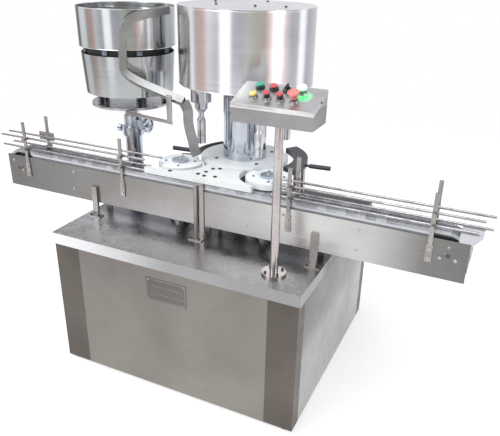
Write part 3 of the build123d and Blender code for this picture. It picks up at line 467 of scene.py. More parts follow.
def lit_surface(name, colour, strength):
    """Translucent plastic with a lamp behind it, a little uneven in brightness."""
    s = moulded(name, colour, 0.22, 300.0, 0.00002, None, 0.6, 0.3)
    glow = s.noise(s.place, 70.0, 2.0, 0.5)
    s.feed(s.mix(glow, shade(colour, 0.8), shade(colour, 1.25)), "Emission Color")
    s.set("Emission Strength", strength)
    return s


def make_surfaces():
    """Every material of the scene, by the short name that the pieces use."""
    made = {
        # The front panel's ramp makes it a little lighter towards the bottom and a little darker towards
        # the top.
        "panel": graded(brushed("panel_steel", (0.27, 0.252, 0.23), 0.36, (45.0, 300.0, 620.0), 1.7,
                                tints=((0.235, 0.217, 0.198), (0.308, 0.289, 0.264))),
                        "Z", 0.0, 0.65, (0.0, 1.06), (0.6, 1.0), (1.0, 0.96)),
        "corner": brushed("corner_steel", (0.150, 0.133, 0.120), 0.40, (30.0, 30.0, 700.0), 2.2),
        # The side and rear panels' ramp darkens them strongly towards the top: painted shade and painted
        # reflection of the shadow under the table's overhang.
        "side": graded(brushed("side_steel", (0.50, 0.52, 0.49), 0.20, (300.0, 45.0, 500.0), 1.6,
                               dents=0.006, tints=((0.36, 0.38, 0.35), (0.60, 0.62, 0.59))),
                       "Z", 0.05, 0.65, (0.0, 0.80), (0.45, 0.72), (0.62, 0.34), (1.0, 0.21)),
        # The table's two ramps are painted light and shade: along X it is much lighter at the left end
        # and darker to the right, a painted shadow of the conveyor; along Y it is very dark behind the
        # conveyor, a painted shadow with a painted reflection of the conveyor's dark underside.
        "table": graded(graded(brushed("table_steel", (0.42, 0.42, 0.43), 0.27, (420.0, 420.0, 420.0),
                                       2.4, contrast=0.06, dents=0.0004),
                               "X", -0.62, 0.55, (0.0, 2.3), (0.16, 2.0), (0.5, 0.92), (1.0, 0.86)),
                        "Y", -0.51, 0.51, (0.0, 1.0), (0.22, 0.95), (0.30, 0.30), (1.0, 0.22)),
        # The conveyor panels' ramp along X is painted light and shade: a bright painted reflection round
        # x = 0.46 m, darker towards both ends.
        "conveyor": graded(brushed("conveyor_steel", (0.50, 0.49, 0.475), 0.32, (26.0, 300.0, 700.0),
                                   1.3, relief=0.00004, dents=0.0008,
                                   tints=((0.44, 0.425, 0.41), (0.56, 0.56, 0.55))),
                           "X", -1.08, 1.06, (0.0, 0.42), (0.30, 0.62), (0.55, 0.96), (0.72, 1.40),
                           (0.84, 1.10), (0.93, 0.48), (1.0, 0.44)),
        "bracket": brushed("bracket_steel", (0.42, 0.40, 0.38), 0.36, (500.0, 500.0, 60.0), 9.0),
        # The box's ramp is painted shade and light: its front and sides below the lid are darkened and
        # its sloping lid is lightened. On the lid, a painted green glow round the feeder button is
        # emitted by the sheet itself.
        "box": painted_lamp_glow(graded(brushed("box_steel", (0.58, 0.575, 0.58), 0.33,
                                         (60.0, 700.0, 700.0), 5.0),
                                 "Z", 1.295, 1.355, (0.0, 0.66), (0.14, 0.68), (0.18, 1.04),
                                 (1.0, 1.06)),
                          (0.446, -0.343), 0.034, (0.05, 0.95, 0.22), 0.95),
        # A lighter copy of the box's steel for the lid's folded edges: a painted highlight.
        "flange": brushed("lid_edge_painted_highlight", (0.80, 0.80, 0.80), 0.30, (60.0, 700.0, 700.0), 5.0),
        "chute": brushed("chute_steel", (0.36, 0.365, 0.36), 0.46, (240.0, 240.0, 60.0), 7.0),
        "round": machined("round_steel", (0.68, 0.67, 0.68), 0.20),
        "rod": machined("rod_steel", (0.36, 0.35, 0.35), 0.26, 600.0),
        "post": brushed("post_steel", (0.54, 0.505, 0.495), 0.20, (300.0, 300.0, 30.0), 8.0),
        "drum": turned("drum_steel", (0.90, 0.90, 0.91), 0.17, TURRET),
        # The bowl's ramp is painted shade: the bowl steel is darker below about 1.36 m, on the lower bowl
        # and its drum, and a little lighter above.
        "bowl": graded(turned("bowl_steel", (0.64, 0.66, 0.665), 0.15, BOWL),
                       "Z", 1.19, 1.56, (0.0, 0.74), (0.46, 0.78), (0.54, 1.0), (1.0, 1.04)),
        "column": turned("column_chrome", (0.54, 0.575, 0.64), 0.10, TURRET),
        "stand": turned("stand_steel", (0.52, 0.56, 0.64), 0.16, BOWL),
        "head": machined("head_steel", (0.66, 0.67, 0.70), 0.20, 500.0),
        "gear": machined("gear_steel", (0.40, 0.40, 0.41), 0.38, 240.0, 0.0001),
        "frame": brushed("frame_steel", (0.38, 0.38, 0.38), 0.42, (200.0, 200.0, 200.0), 5.0),
        "bolt": machined("bolt_steel", (0.46, 0.46, 0.47), 0.30, 700.0),
        "screw": machined("screw_black", (0.10, 0.11, 0.13), 0.38, 700.0),
        "cap_disc": machined("hub_steel", (0.50, 0.55, 0.62), 0.28, 420.0),
        "chain": chain_surface(),
        # Lit and shaded copies of one white plate: the centre guide's copy is darker and bluer, a painted
        # shade, and the stars' copy is lighter, a painted light.
        "white": plate_surface("guide_white_painted_shade", (0.68, 0.725, 0.74), (0.77, 0.785, 0.77)),
        "star": plate_surface("stars_white_painted_light", (0.84, 0.89, 0.92), (0.90, 0.93, 0.93)),
        "strip": moulded("strip_plastic", (0.52, 0.535, 0.57), 0.40),
        "black": moulded("black_nylon", (0.055, 0.063, 0.075), 0.46, 700.0, 0.00012,
                         (0.16, 0.17, 0.19)),
        "dark": moulded("black_gloss", (0.02, 0.02, 0.022), 0.28, 700.0, 0.00004, (0.06, 0.06, 0.06)),
        "rubber": moulded("foot_rubber", (0.03, 0.03, 0.03), 0.7, 500.0, 0.0002, (0.08, 0.08, 0.08)),
        "cast": moulded("painted_casting", (0.20, 0.25, 0.30), 0.45, 350.0, 0.0003,
                        (0.30, 0.34, 0.38), 0.2),
        "yellow": moulded("yellow_lens", (0.80, 0.66, 0.20), 0.20, 300.0, 0.00002, None, 0.5, 0.35),
        "red": moulded("red_plastic", (0.55, 0.07, 0.09), 0.26, 300.0, 0.00002, None, 0.4, 0.1),
        "mushroom": moulded("red_mushroom", (0.60, 0.14, 0.12), 0.28, 300.0, 0.00002, None, 0.4, 0.2),
        "green": moulded("green_plastic", (0.03, 0.38, 0.24), 0.28, 300.0, 0.00002, None, 0.4, 0.1),
        "pale_red": moulded("pale_red_plastic", (0.86, 0.22, 0.20), 0.24, 300.0, 0.00002, None,
                            0.5, 0.4),
        "lit_cap": lit_surface("lit_cap", (0.62, 0.95, 0.74), 0.30),
        "base": base_surface(),
        "tag": brushed("tag_steel", (0.175, 0.168, 0.162), 0.34, (60.0, 300.0, 700.0), 2.0),
        "tag_line": brushed("tag_line_steel", (0.32, 0.315, 0.30), 0.38, (60.0, 300.0, 700.0), 2.0),
    }
    return {key: surface.material for key, surface in made.items()}


# ---------------------------------------------------------------- mesh building
def place_piece(name, bm, body, material, sharp=32.0):
    """Turns a bmesh into a named piece that rides on a body."""
    bmesh.ops.recalc_face_normals(bm, faces=bm.faces[:])
    limit = math.radians(sharp)
    for face in bm.faces:
        face.smooth = True
    for edge in bm.edges:
        if len(edge.link_faces) == 2 and edge.calc_face_angle(0.0) > limit:
            edge.smooth = False
    mesh = bpy.data.meshes.new(name)
    bm.to_mesh(mesh)
    bm.free()
    piece = bpy.data.objects.new(name, mesh)
    bpy.context.scene.collection.objects.link(piece)
    mesh.materials.append(material)
    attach(piece, body)
    return piece


def hex_scale(angle):
    """Radius of a hexagon's outline at an angle, for a flat-to-flat half width of 1."""
    return 1 / math.cos((angle % (math.pi / 3)) - math.pi / 6)


def bridge(bm, low, high):
    """Quads between two closed loops with the same number of points."""
    count = len(low)
    for step in range(count):
        after = (step + 1) % count
        bm.faces.new((low[step], low[after], high[after], high[step]))


def lathe(bm, rings, place, axis=UP, steps=32):
    """Closed turned shape. Each ring is (radius, height) or (radius, height, "hex")."""
    turn = Vector(axis).to_track_quat("Z", "Y").to_matrix()
    origin = Vector(place)
    loops = []
    for ring in rings:
        radius, height = ring[0], ring[1]
        hexed = len(ring) > 2
        if radius < 1e-7:
            loops.append([bm.verts.new(origin + turn @ Vector((0, 0, height)))])
            continue
        loop = []
        for step in range(steps):
            angle = 2 * math.pi * step / steps
            reach = radius * (hex_scale(angle) if hexed else 1)
            loop.append(bm.verts.new(origin + turn @ Vector(
                (reach * math.cos(angle), reach * math.sin(angle), height))))
        loops.append(loop)
    for low, high in zip(loops[:-1], loops[1:]):
        if len(low) == len(high) == steps:
            bridge(bm, low, high)
        elif len(low) > len(high):
            for step in range(steps):
                bm.faces.new((low[step], low[(step + 1) % steps], high[0]))
        elif len(low) < len(high):
            for step in range(steps):
                bm.faces.new((low[0], high[(step + 1) % steps], high[step]))
    for loop, flip in ((loops[0], True), (loops[-1], False)):
        if len(loop) > 1:
            bm.faces.new(list(reversed(loop)) if flip else loop)


def ring_shape(bm, rings, place, axis=UP, steps=64):
    """Open loop of rings closed on itself, for a bead, a hem or a collar with a bore."""
    turn = Vector(axis).to_track_quat("Z", "Y").to_matrix()
    origin = Vector(place)
    loops = []
    for radius, height in rings:
        loops.append([bm.verts.new(origin + turn @ Vector(
            (radius * math.cos(2 * math.pi * step / steps),
             radius * math.sin(2 * math.pi * step / steps), height))) for step in range(steps)])
    for low, high in zip(loops, loops[1:] + loops[:1]):
        bridge(bm, low, high)


def slab(bm, low, high, edge=0.0, turn=None, about=None):
    """A box between two corners with softened edges, turned about a point if asked."""
    low, high = Vector(low), Vector(high)
    made = bmesh.ops.create_cube(bm, size=1.0)
    verts = made["verts"]
    for vert in verts:
        vert.co = Vector(((low[i] + high[i]) / 2 + vert.co[i] * (high[i] - low[i]) for i in range(3)))
    if edge:
        edges = list({e for v in verts for e in v.link_edges})
        made = bmesh.ops.bevel(bm, geom=edges, offset=edge, segments=2, affect="EDGES", profile=0.5)
        verts = list({v for f in made["faces"] for v in f.verts} | {v for v in verts if v.is_valid})
    if turn is not None:
        bmesh.ops.rotate(bm, verts=verts, cent=Vector(about), matrix=turn)


def prism(bm, outline, start, end):
    """Extrudes a closed outline in the YZ plane along X."""
    loops = [[bm.verts.new((x, y, z)) for y, z in outline] for x in (start, end)]
    bridge(bm, *loops)
    bm.faces.new(loops[0])
    bm.faces.new(list(reversed(loops[1])))


def cap_screw(bm, place, axis, radius, height, steps=24):
    """Socket cap screw with a hexagon recess."""
    lathe(bm, ((radius, 0), (radius, height * 0.86), (radius * 0.9, height),
               (radius * 0.52, height, "hex"), (radius * 0.50, height * 0.42, "hex"),
               (0, height * 0.36)), place, axis, steps)


def hex_bolt(bm, place, axis, radius, height, steps=24):
    """Hexagon head on a washer, with a slightly domed top."""
    lathe(bm, ((radius * 1.25, 0), (radius * 1.25, height * 0.16), (radius * 0.95, height * 0.20),
               (radius * 0.86, height * 0.22, "hex"), (radius * 0.86, height * 0.85, "hex"),
               (radius * 0.80, height * 0.97), (0, height)), place, axis, steps)


def dome_bolt(bm, place, axis, radius, height, steps=20):
    """Round dome-headed bolt on a washer."""
    lathe(bm, ((radius * 1.3, 0), (radius * 1.3, height * 0.2), (radius, height * 0.22),
               (radius * 0.94, height * 0.55), (radius * 0.70, height * 0.86), (0, height)),
          place, axis, steps)


def sweep(bm, stations, section):
    """Carries a closed section along stations of (place, open direction, forward direction)."""
    loops = []
    for place, facing, forward in stations:
        side = forward.cross(facing).normalized()
        up = side.cross(forward).normalized()
        loops.append([bm.verts.new(place + up * a + side * b) for a, b in section])
    for low, high in zip(loops[:-1], loops[1:]):
        bridge(bm, low, high)
    bm.faces.new(list(reversed(loops[0])))
    bm.faces.new(loops[-1])


def rounded(values, rounds=3):
    """Corner cutting: keeps the ends and rounds every corner between them."""
    for _ in range(rounds):
        cut = [values[0]]
        for a, b in zip(values[:-1], values[1:]):
            cut += [a * 0.75 + b * 0.25, a * 0.25 + b * 0.75]
        cut.append(values[-1])
        values = cut
    return values


def helix(bm, place, radius, wire, low, high, turns, steps=20, sides=8):
    """A coil spring round an upright axis."""
    count = int(turns * steps)
    loops = []
    for step in range(count + 1):
        angle = 2 * math.pi * step / steps
        height = low + (high - low) * step / count
        outward = Vector((math.cos(angle), math.sin(angle), 0))
        centre = Vector((place[0], place[1], height)) + outward * radius
        loops.append([bm.verts.new(centre + outward * (wire * math.cos(2 * math.pi * k / sides))
                                   + UP * (wire * math.sin(2 * math.pi * k / sides)))
                      for k in range(sides)])
    for low_loop, high_loop in zip(loops[:-1], loops[1:]):
        bridge(bm, low_loop, high_loop)
    bm.faces.new(loops[0])
    bm.faces.new(list(reversed(loops[-1])))


def around(centre, radius, degrees, height):
    """A point on a circle round an upright axis."""
    turn = math.radians(degrees)
    return Vector((centre[0] + radius * math.cos(turn), centre[1] + radius * math.sin(turn), height))


# ---------------------------------------------------------------- CAD nodes
NODE_SURFACES = {
    "table": ("table_top",), "panel": ("front_panel",), "corner": ("corner_trims",),
    "side": ("side_and_rear_panels",), "rubber": ("levelling_feet",), "cast": ("gearmotors",),
    "frame": ("cabinet_frame", "drive_plate"), "conveyor": ("conveyor_panels",),
    "gear": ("drive_pinion", "main_shaft", "sun_gear", "conveyor_bearings",
             "conveyor_drive_shaft", "conveyor_idler_shaft"),
    "round": ("pedestals", "guide_posts", "mast", "head_carrier"),
    "cap_disc": ("infeed_shaft", "outfeed_shaft"), "post": ("control_post",),
    "white": ("centre_guide",), "star": ("main_star", "infeed_star", "outfeed_star"),
    "column": ("turret_column",), "drum": ("drum_cover",), "bowl": ("cap_bowl", "bowl_drum"),
    "head": ("head_sleeves",) + tuple(f"head_quill_{n}" for n in range(1, 5))
            + tuple(f"head_spindle_{n}" for n in range(1, 5)),
    "black": ("outer_guides",), "chain": ("slat_chain",),
    "strip": ("wear_strips",), "bracket": ("rail_brackets", "conveyor_posts", "rail_clamps"),
    "rod": ("guide_rails",), "stand": ("bowl_stand", "clamp_knob", "handwheel"), "base": ("bowl_base",),
    "chute": ("cap_chute",), "box": ("control_box",),
    "yellow": ("pilot_button",), "red": ("jog_button", "reset_button", "stop_button"),
    "mushroom": ("emergency_stop",), "green": ("start_button",), "dark": ("selector_switch",),
    "lit_cap": ("feeder_button",),
}


def dress_nodes(surfaces):
    """Gives every CAD node its material."""
    for key, names in NODE_SURFACES.items():
        for name in names:
            node = nodes[name]
            if not node.material_slots:
                node.data.materials.append(surfaces[key])
            for slot in node.material_slots:
                slot.material = surfaces[key]


# ---------------------------------------------------------------- places in mm
def at_mm(x, y, z):
    """A point given in mm."""
    return Vector((x * MM, y * MM, z * MM))


def lid_height(y):
    """Height of the lid's top face in mm at a place y in mm."""
    return LID_LOW + (y - LID_FRONT) * math.tan(LID_SLOPE)


def lid_point(x, y, lift=0.0):
    """A point over the control box's lid, x and y in mm, lift in mm along its normal."""
    return at_mm(x, y, lid_height(y)) + LID_NORMAL * lift * MM


def scaled(rings):
    """Rings given in mm, as lathe and ring_shape take them."""
    return [(ring[0] * MM, ring[1] * MM) + tuple(ring[2:]) for ring in rings]


# ---------------------------------------------------------------- cabinet and conveyor
def make_nameplate():
    """Blank plate with a raised border, two plain rules and a rivet in each corner."""
    left, right, bottom, top, face = -139, 53, 457, 562, -503
    inset, width = 4, 3
    bm = bmesh.new()
    slab(bm, at_mm(left, face - 1.2, bottom), at_mm(right, face + 0.5, top), 0.0004)
    place_piece("nameplate", bm, "machine", S["tag"])
    x0, x1, z0, z1 = left + inset, right - inset, bottom + inset, top - inset
    bars = [((x0, z0), (x1, z0 + width)), ((x0, z1 - width), (x1, z1)),
            ((x0, z0 + width), (x0 + width, z1 - width)), ((x1 - width, z0 + width), (x1, z1 - width))]
    for rule in (526, 491):
        bars.append(((x0 + 12, rule), (x1 - 12, rule + 2)))
    bm = bmesh.new()
    for low, high in bars:
        slab(bm, at_mm(low[0], face - 1.8, low[1]), at_mm(high[0], face - 1.0, high[1]), 0.0002)
    place_piece("nameplate_border", bm, "machine", S["tag_line"])
    rivet = scaled(((3.2, 0), (3.0, 0.8), (2.0, 1.7), (0, 2.1)))
    bm = bmesh.new()
    for x in (left + 11, right - 11):
        for z in (bottom + 11, top - 11):
            lathe(bm, rivet, at_mm(x, face - 1.1, z), FRONT, 20)
    place_piece("nameplate_rivets", bm, "machine", S["bolt"])


# Bolts and plugs of the conveyor's side panels, x and z in mm. The plugs are not on the shafts' axes
PANEL_BOLTS = ((-678, 848), (-684, 764), (-413, 793), (663, 847), (662, 765), (987, 849),
               (961, 803), (1015, 803), (-990, 804), (-1040, 848), (-200, 765), (200, 765),
               (360, 848))
SHAFT_PLUGS = ((989, 816), (-1014, 813))


def make_panel_bolts():
    """Dome bolts on both side panels, and a round plug on the front panel near each shaft."""
    bm = bmesh.new()
    for x, z in PANEL_BOLTS:
        dome_bolt(bm, at_mm(x, PANEL_FRONT, z), FRONT, *PANEL_BOLT)
        dome_bolt(bm, at_mm(x, PANEL_REAR, z), REAR, *PANEL_BOLT)
    place_piece("conveyor_bolts", bm, "machine", S["bolt"])
    bm = bmesh.new()
    for x, z in SHAFT_PLUGS:
        lathe(bm, scaled(((8.5, -1), (8.5, 0.5), (7.0, 0.7), (6.2, 0.2), (0, 0.2))),
              at_mm(x, PANEL_FRONT, z), FRONT, 28)
    place_piece("conveyor_shaft_ends", bm, "machine", S["screw"])


def make_bracket_bolts():
    """Two bolts in the foot of every rail bracket."""
    bm = bmesh.new()
    for face, axis, places in ((BRACKET_FRONT, FRONT, (-950, -404, 382, 922)),
                               (BRACKET_REAR, REAR, (-893, -404, 382, 919))):
        for x in places:
            for z in (795, 830):
                hex_bolt(bm, at_mm(x, face, z), axis, *BRACKET_BOLT)
    place_piece("bracket_bolts", bm, "machine", S["bolt"])


def make_table_bolts():
    """Screws of the post's flange, of the bowl stand's flange and of the conveyor's feet."""
    bm = bmesh.new()
    for angle in (45, 135, 225, 315):
        cap_screw(bm, around(CONTROL_POST, 0.036, angle, TABLE_TOP + 0.004), UP, *POST_SCREW)
        cap_screw(bm, around(BOWL, 0.066, angle, TABLE_TOP + 0.006), UP, *STAND_SCREW)
    for foot in (-560, -28, 497):
        for offset in (21, -17):
            cap_screw(bm, at_mm(foot + offset, -289, 665), UP, *FOOT_SCREW)
    place_piece("table_screws", bm, "machine", S["screw"])


# ---------------------------------------------------------------- stars and guides
# Screws of the centre guide, x and y in mm
GUIDE_SCREWS = ((-161, -256), (-39, -233), (-22, -196), (-5, -242), (-14, -149), (40, -231),
                (12, -135))


def make_star_screws():
    """Screws of the centre guide and the three stars, and the hub bolts of the small stars."""
    bm = bmesh.new()
    for x, y in GUIDE_SCREWS:
        cap_screw(bm, at_mm(x, y, 936.6), UP, *GUIDE_SCREW)
    place_piece("guide_screws", bm, "machine", S["screw"])
    seat = STAR_TOP - 0.0004
    bm = bmesh.new()
    for step in range(4):
        cap_screw(bm, around(TURRET, 0.136, 47.4 + 90 * step, seat), UP, *MAIN_STAR_SCREW)
    place_piece("main_star_screws", bm, "turret", S["screw"])
    for body, centre in (("infeed", INFEED), ("outfeed", OUTFEED)):
        bm = bmesh.new()
        for step in range(4):
            cap_screw(bm, around(centre, 0.064, 22 + 90 * step, seat), UP, *STAR_SCREW)
        place_piece(body + "_star_screws", bm, body, S["screw"])
        bm = bmesh.new()
        hex_bolt(bm, (*centre, STAR_TOP + 0.010), UP, *HUB_BOLT)
        place_piece(body + "_hub_bolt", bm, body, S["bolt"])


# Bolts on the drum's top, x and y in mm, and its rolled edges: height in metres, rings in mm
DRUM_BOLTS = ((-93, 32), (83, 34), (202, 69), (22, 300), (-170, 170))
DRUM_EDGES = ((1.5790, ((287.4, -1.6), (288.8, -1.0), (289.1, 0), (288.8, 1.0), (287.4, 1.6))),
              (1.2715, ((286.6, -0.6), (288.6, -1.2), (289.2, 0.6), (288.4, 2.4), (287.0, 2.0))))


def make_drum_details():
    """Bolts on the drum's top and the beads at its two edges."""
    bm = bmesh.new()
    for x, y in DRUM_BOLTS:
        hex_bolt(bm, at_mm(x, y, 1585), UP, *DRUM_BOLT)
    place_piece("drum_bolts", bm, "turret", S["screw"])
    bm = bmesh.new()
    for height, rings in DRUM_EDGES:
        ring_shape(bm, scaled(rings), (*TURRET, height), UP, 128)
    place_piece("drum_beads", bm, "turret", S["drum"])


# ---------------------------------------------------------------- cap feeder
# The chute's path in mm, and its sections: width, depth, wall and lip in mm
CHUTE_UPPER = ((-306, -10, 1553), (-316, -112, 1548), (-355, -172, 1535), (-390, -198, 1503),
               (-404, -200, 1455), (-408, -200, 1364), (-410, -200, 1298), (-142, -162, 1213))
CHUTE_LOWER = ((-142, -162, 1213), (-122, -160, 1178), (-133, -146, 1130), (-134, -131, 1082),
               (-128, -118, 1035), (-126, -112, 998), (-120, -100, 970))
UPPER_SECTION = (34, 30, 1.6, 11.0)
LOWER_SECTION = (42, 18, 1.6, 2.0)
LOWER_FACING = Vector((-0.52, 0.85, 0))

# The arm that carries the chute, in mm: its start, its way, its two heights, its upright's bolts
ARM_START = (-456, -140)
ARM_WAY = (268, -48)
ARM_LENGTH = 272
ARM_LOW, ARM_HIGH = 1117, 1132
ARM_BOLTS = (1124, 1228)


def channel_section(width, depth, wall, lip):
    """Outline of a folded sheet channel; a lip narrows its open side to a slot."""
    a, b, t, g = depth * MM / 2, width * MM / 2, wall * MM, width * MM / 2 - lip * MM
    return ((a, -g), (a, -b), (-a, -b), (-a, b), (a, b), (a, g),
            (a - t, g - t * 0.5), (a - t, b - t), (t - a, b - t), (t - a, t - b),
            (a - t, t - b), (a - t, t * 0.5 - g))


def channel(bm, places, section, facing, keep):
    """Sweeps a channel along rounded corners. Its open side turns only as the path bends it,
    or keeps to one direction."""
    path = rounded([at_mm(*place) for place in places])
    stations = []
    for index, place in enumerate(path):
        ahead = (path[min(index + 1, len(path) - 1)] - path[max(index - 1, 0)]).normalized()
        turned_to = (facing - ahead * facing.dot(ahead)).normalized()
        stations.append((place, turned_to, ahead))
        if not keep:
            facing = turned_to
    sweep(bm, stations, section)


def make_chute():
    """Bent sheet channel from the bowl's rim down to the turret, and the arm that carries it."""
    bm = bmesh.new()
    channel(bm, CHUTE_UPPER, channel_section(*UPPER_SECTION), UP.copy(), False)
    channel(bm, CHUTE_LOWER, channel_section(*LOWER_SECTION), LOWER_FACING, True)
    chute = place_piece("chute_sheet", bm, "feeder", S["chute"], 40.0)
    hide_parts("cap_chute")
    x, y = ARM_START
    turn = Matrix.Rotation(math.atan2(ARM_WAY[1], ARM_WAY[0]), 3, "Z")
    bm = bmesh.new()
    slab(bm, at_mm(x, y - 3, ARM_LOW), at_mm(x + ARM_LENGTH, y + 2, ARM_HIGH), 0.0006, turn,
         at_mm(x, y, 1124))
    slab(bm, at_mm(-208, -192, ARM_LOW), at_mm(-183, -188, 1240), 0.0006)
    place_piece("chute_bracket", bm, "feeder", S["bracket"])
    bm = bmesh.new()
    for z in ARM_BOLTS:
        hex_bolt(bm, at_mm(-195.5, -192, z), FRONT, *CHUTE_BOLT)
    place_piece("chute_bracket_bolts", bm, "feeder", S["bolt"])


# Rolled edges of the bowl: ring and bead radius in mm, height in metres, sides of the bead
BOWL_BEADS = ((214.2, 2.4, 1.5580, 8), (212.6, 1.8, 1.3955, 6))

# The cap track that climbs inside the bowl: metres and degrees
TRACK_RADIUS, TRACK_LOW, TRACK_RISE = 0.2005, 1.404, 0.142
TRACK_START, TRACK_TURN, TRACK_STEPS = 110, 800, 200
TRACK_GRADE = 0.045
TRACK_SECTION = ((0.0008, -0.0095), (-0.0008, -0.0095), (-0.0008, 0.0095), (0.0008, 0.0095))

CLAMP_ANGLES = (-128, -84, -40, 4, 48, 92, 136, 180)
SPRING_ANGLES = tuple(-113 + 72 * step for step in range(5))
SPRING_PITCH_RADIUS = 0.155


def make_bowl_edges():
    bm = bmesh.new()
    for radius, bead, height, sides in BOWL_BEADS:
        turns = [math.radians(360 / sides * side) for side in range(sides)]
        rings = [(radius + bead * math.cos(turn), bead * math.sin(turn)) for turn in turns]
        ring_shape(bm, scaled(rings), (*BOWL, height), UP, 96)
    place_piece("bowl_beads", bm, "feeder", S["bowl"])


def make_bowl_track():
    """A strip that climbs the inside of the bowl in a spiral."""
    stations = []
    for step in range(TRACK_STEPS + 1):
        part = step / TRACK_STEPS
        angle = TRACK_START + TRACK_TURN * part
        turn = math.radians(angle)
        place = around(BOWL, TRACK_RADIUS, angle, TRACK_LOW + TRACK_RISE * part)
        ahead = Vector((-math.sin(turn), math.cos(turn), TRACK_GRADE)).normalized()
        stations.append((place, UP, ahead))
    bm = bmesh.new()
    sweep(bm, stations, TRACK_SECTION)
    place_piece("bowl_track", bm, "feeder", S["bowl"])


def make_bowl_joint():
    """The dark skirt between the bowl and the drum, and the clamps round it."""
    bm = bmesh.new()
    lathe(bm, scaled(((120, 1360), (186, 1361), (190, 1366), (190, 1389), (186, 1393), (120, 1393.6))),
          (*BOWL, 0), UP, 96)
    place_piece("bowl_skirt", bm, "feeder", S["rubber"])
    x = BOWL[0] / MM
    bm = bmesh.new()
    for angle in CLAMP_ANGLES:
        slab(bm, at_mm(x + 190, 8, 1369), at_mm(x + 200, 32, 1388), 0.0015,
             Matrix.Rotation(math.radians(angle), 3, "Z"), (*BOWL, 1.378))
    place_piece("bowl_clamps", bm, "feeder", S["cast"])


def make_springs():
    """A coil spring in a cup at every post under the drum."""
    bm = bmesh.new()
    for angle in SPRING_ANGLES:
        centre = around(BOWL, SPRING_PITCH_RADIUS, angle, 0)
        helix(bm, (centre.x, centre.y), 0.0125, 0.0026, BASE_TOP + 0.0028, DRUM_LOW - 0.0028, 4.5)
    place_piece("bowl_springs", bm, "feeder", S["screw"])
    bm = bmesh.new()
    for angle in SPRING_ANGLES:
        centre = around(BOWL, SPRING_PITCH_RADIUS, angle, BASE_TOP)
        lathe(bm, scaled(((19, 0), (19, 1.6), (17, 2.4), (0, 2.4))), centre, UP, 32)
    place_piece("spring_cups", bm, "feeder", S["bolt"])


# ---------------------------------------------------------------- control box
# Centres on the lid, x and y in mm
BUTTONS = {"pilot_button": (272, -376), "jog_button": (324, -376), "reset_button": (374, -376),
           "emergency_stop": (424, -376), "start_button": (272, -318), "stop_button": (325, -318),
           "selector_switch": (376, -318), "feeder_button": (433, -324)}

# Turned outlines, radius and height in mm
LENS = ((10.6, 1), (10.6, 11.6), (13.6, 11.8), (14.0, 13.0), (13.2, 16.4), (10.6, 19.2), (6.2, 20.8),
        (0, 21.2))
TALL_BODY = ((10.2, 1), (10.2, 8), (11.0, 10), (11.2, 20.6), (0, 21.2))
TALL_CAP = ((11.0, 20.4), (11.8, 21.2), (11.8, 25.4), (10.4, 27.6), (0, 28.0))
FLAT_BODY = ((10.8, 1), (10.8, 11.5), (0, 11.5))
FLAT_CAP = ((11.5, 11.6), (13.4, 12.4), (13.6, 15.6), (12.2, 17.4), (0, 18.0))
STOP_STEM = ((10.6, 1), (10.6, 9), (8.6, 10), (8.6, 16), (0, 16))
STOP_HEAD = ((9, 14.0), (13.4, 14.8), (14.2, 17), (15.0, 24), (17.8, 32.4), (18.6, 33.6), (0, 34.2))
STOP_RIM = ((17.6, 32.6), (20.6, 34.2), (21.0, 36.0), (20.2, 37.6), (18.4, 38.0), (16.4, 36.2),
            (9.0, 35.0), (0, 34.8))
SELECTOR_BASE = ((10.8, 1), (10.8, 12.4), (9.4, 13.8), (0, 14.0))
LAMP_STEM = ((10.4, 1), (10.4, 12), (14, 15), (19.8, 18.6), (0, 18.8))
LAMP_HEAD = ((18.0, 18.6), (19.4, 20.0), (19.4, 23.0), (17.4, 27.4), (12.6, 30.6), (6.4, 31.8),
             (0, 32.0))

# Each control's pieces: name, material, slot and outline
BUTTON_SHAPES = {
    "pilot_button": (("lens", "yellow", "yellow", LENS),),
    "jog_button": (("body", "dark", "black_gloss", TALL_BODY), ("cap", "red", "red", TALL_CAP)),
    "reset_button": (("body", "dark", "black_gloss", TALL_BODY), ("cap", "red", "red", TALL_CAP)),
    "emergency_stop": (("stem", "bolt", "stainless", STOP_STEM), ("head", "mushroom", "red", STOP_HEAD),
                       ("rim", "pale_red", "red", STOP_RIM)),
    "start_button": (("body", "dark", "black_gloss", FLAT_BODY), ("cap", "green", "green", FLAT_CAP)),
    "stop_button": (("body", "dark", "black_gloss", FLAT_BODY), ("cap", "red", "red", FLAT_CAP)),
    "selector_switch": (("base", "dark", "black_gloss", SELECTOR_BASE),),
    "feeder_button": (("stem", "green", "green", LAMP_STEM), ("head", "lit_cap", "green_lit", LAMP_HEAD)),
}
BEZEL = ((11.6, 0), (16.2, 0), (16.2, 2.6), (15.4, 3.8), (14.9, 8.2), (11.6, 8.6))
GUARD = ((15.0, 0), (17.2, 0), (17.0, 6.6), (16.4, 7.4), (15.4, 7.4), (15.0, 6.8))
GUARDED = ("start_button", "stop_button", "selector_switch")


def add_pointer(bm, x, y):
    """The selector's finger grip, square to the lid."""
    half = Vector((0.0035, 0.012, 0.0052))
    spot = lid_point(x, y, 19)
    slab(bm, spot - half, spot + Vector((half.x, half.y, 0.005)), 0.0012,
         Matrix.Rotation(LID_SLOPE, 3, "X"), spot)


def make_buttons():
    """Each control's pieces, on its own body; the control's CAD node is hidden."""
    for name, shapes in BUTTON_SHAPES.items():
        x, y = BUTTONS[name]
        last = None
        for part, surface, slot, rings in shapes:
            bm = bmesh.new()
            lathe(bm, [(0, rings[0][1] * MM)] + scaled(rings), lid_point(x, y), LID_NORMAL, 40)
            if name == "selector_switch":
                add_pointer(bm, x, y)
            last = place_piece(name + "_" + part, bm, name, S[surface], 28.0)
        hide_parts(name)


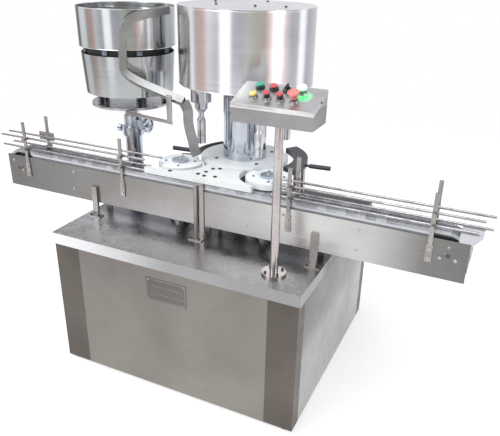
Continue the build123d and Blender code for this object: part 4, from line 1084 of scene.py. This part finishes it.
def make_box_details():
    """Bezels and guards round the buttons, the lid's folded edges and its screws."""
    bm = bmesh.new()
    for x, y in BUTTONS.values():
        ring_shape(bm, scaled(BEZEL), lid_point(x, y), LID_NORMAL, 36)
    place_piece("button_bezels", bm, "machine", S["bolt"])
    bm = bmesh.new()
    for name in GUARDED:
        ring_shape(bm, scaled(GUARD), lid_point(*BUTTONS[name]), LID_NORMAL, 36)
    place_piece("button_guards", bm, "machine", S["dark"])
    # The lid's folded edges use the lighter copy of the box's steel, a painted highlight.
    bm = bmesh.new()
    for edge in (LID_LEFT, LID_RIGHT - 1.0):
        outline = [(-0.4246, 1.2885), (-0.4246, 1.3044), (-0.2850, 1.3556), (-0.2850, 1.3396)]
        prism(bm, outline, edge * MM, (edge + 1.0) * MM)
    place_piece("box_lid_sides", bm, "machine", S["flange"])
    bm = bmesh.new()
    slab(bm, at_mm(LID_LEFT, LID_FRONT - 1.0, 1288.5), at_mm(LID_RIGHT, LID_FRONT, 1304.4), 0.0003)
    place_piece("box_lid_edge", bm, "machine", S["flange"])
    bm = bmesh.new()
    y = -350
    z = lid_height(y) - 8
    cap_screw(bm, at_mm(LID_RIGHT, y, z), RIGHT, *LID_SCREW)
    cap_screw(bm, at_mm(LID_LEFT, y, z), LEFT, *LID_SCREW)
    place_piece("box_lid_screws", bm, "machine", S["screw"])


# ---------------------------------------------------------------- stage
def make_floor():
    """A plain pale disc, lit a little from within so that only soft shadows show on it."""
    s = Surface("studio_floor", 0.0, 0.75, (0.50, 0.50, 0.50))
    drift = s.noise(s.place, 0.8, 2.0, 0.5)
    s.feed(s.ramp(drift, (0.3, (0.36, 0.36, 0.36)), (0.7, (0.39, 0.39, 0.39))), "Base Color")
    s.set("Specular IOR Level", 0.15)
    s.set("Emission Color", (0.95, 0.95, 0.95, 1))
    s.set("Emission Strength", 0.66)
    bm = bmesh.new()
    bmesh.ops.create_circle(bm, cap_ends=True, radius=4.6, segments=96)
    mesh = bpy.data.meshes.new("floor")
    bm.to_mesh(mesh)
    bm.free()
    floor = bpy.data.objects.new("floor", mesh)
    floor.location = (0, 0, -0.0005)
    mesh.materials.append(s.material)
    bpy.context.scene.collection.objects.link(floor)


bpy.context.scene.view_settings.view_transform = "Standard"
make_camera()
make_world()
make_lights()
S = make_surfaces()
dress_nodes(S)
make_nameplate()
make_panel_bolts()
make_bracket_bolts()
make_table_bolts()
make_star_screws()
make_drum_details()
make_chute()
make_bowl_edges()
make_bowl_track()
make_bowl_joint()
make_springs()
make_buttons()
make_box_details()
make_floor()
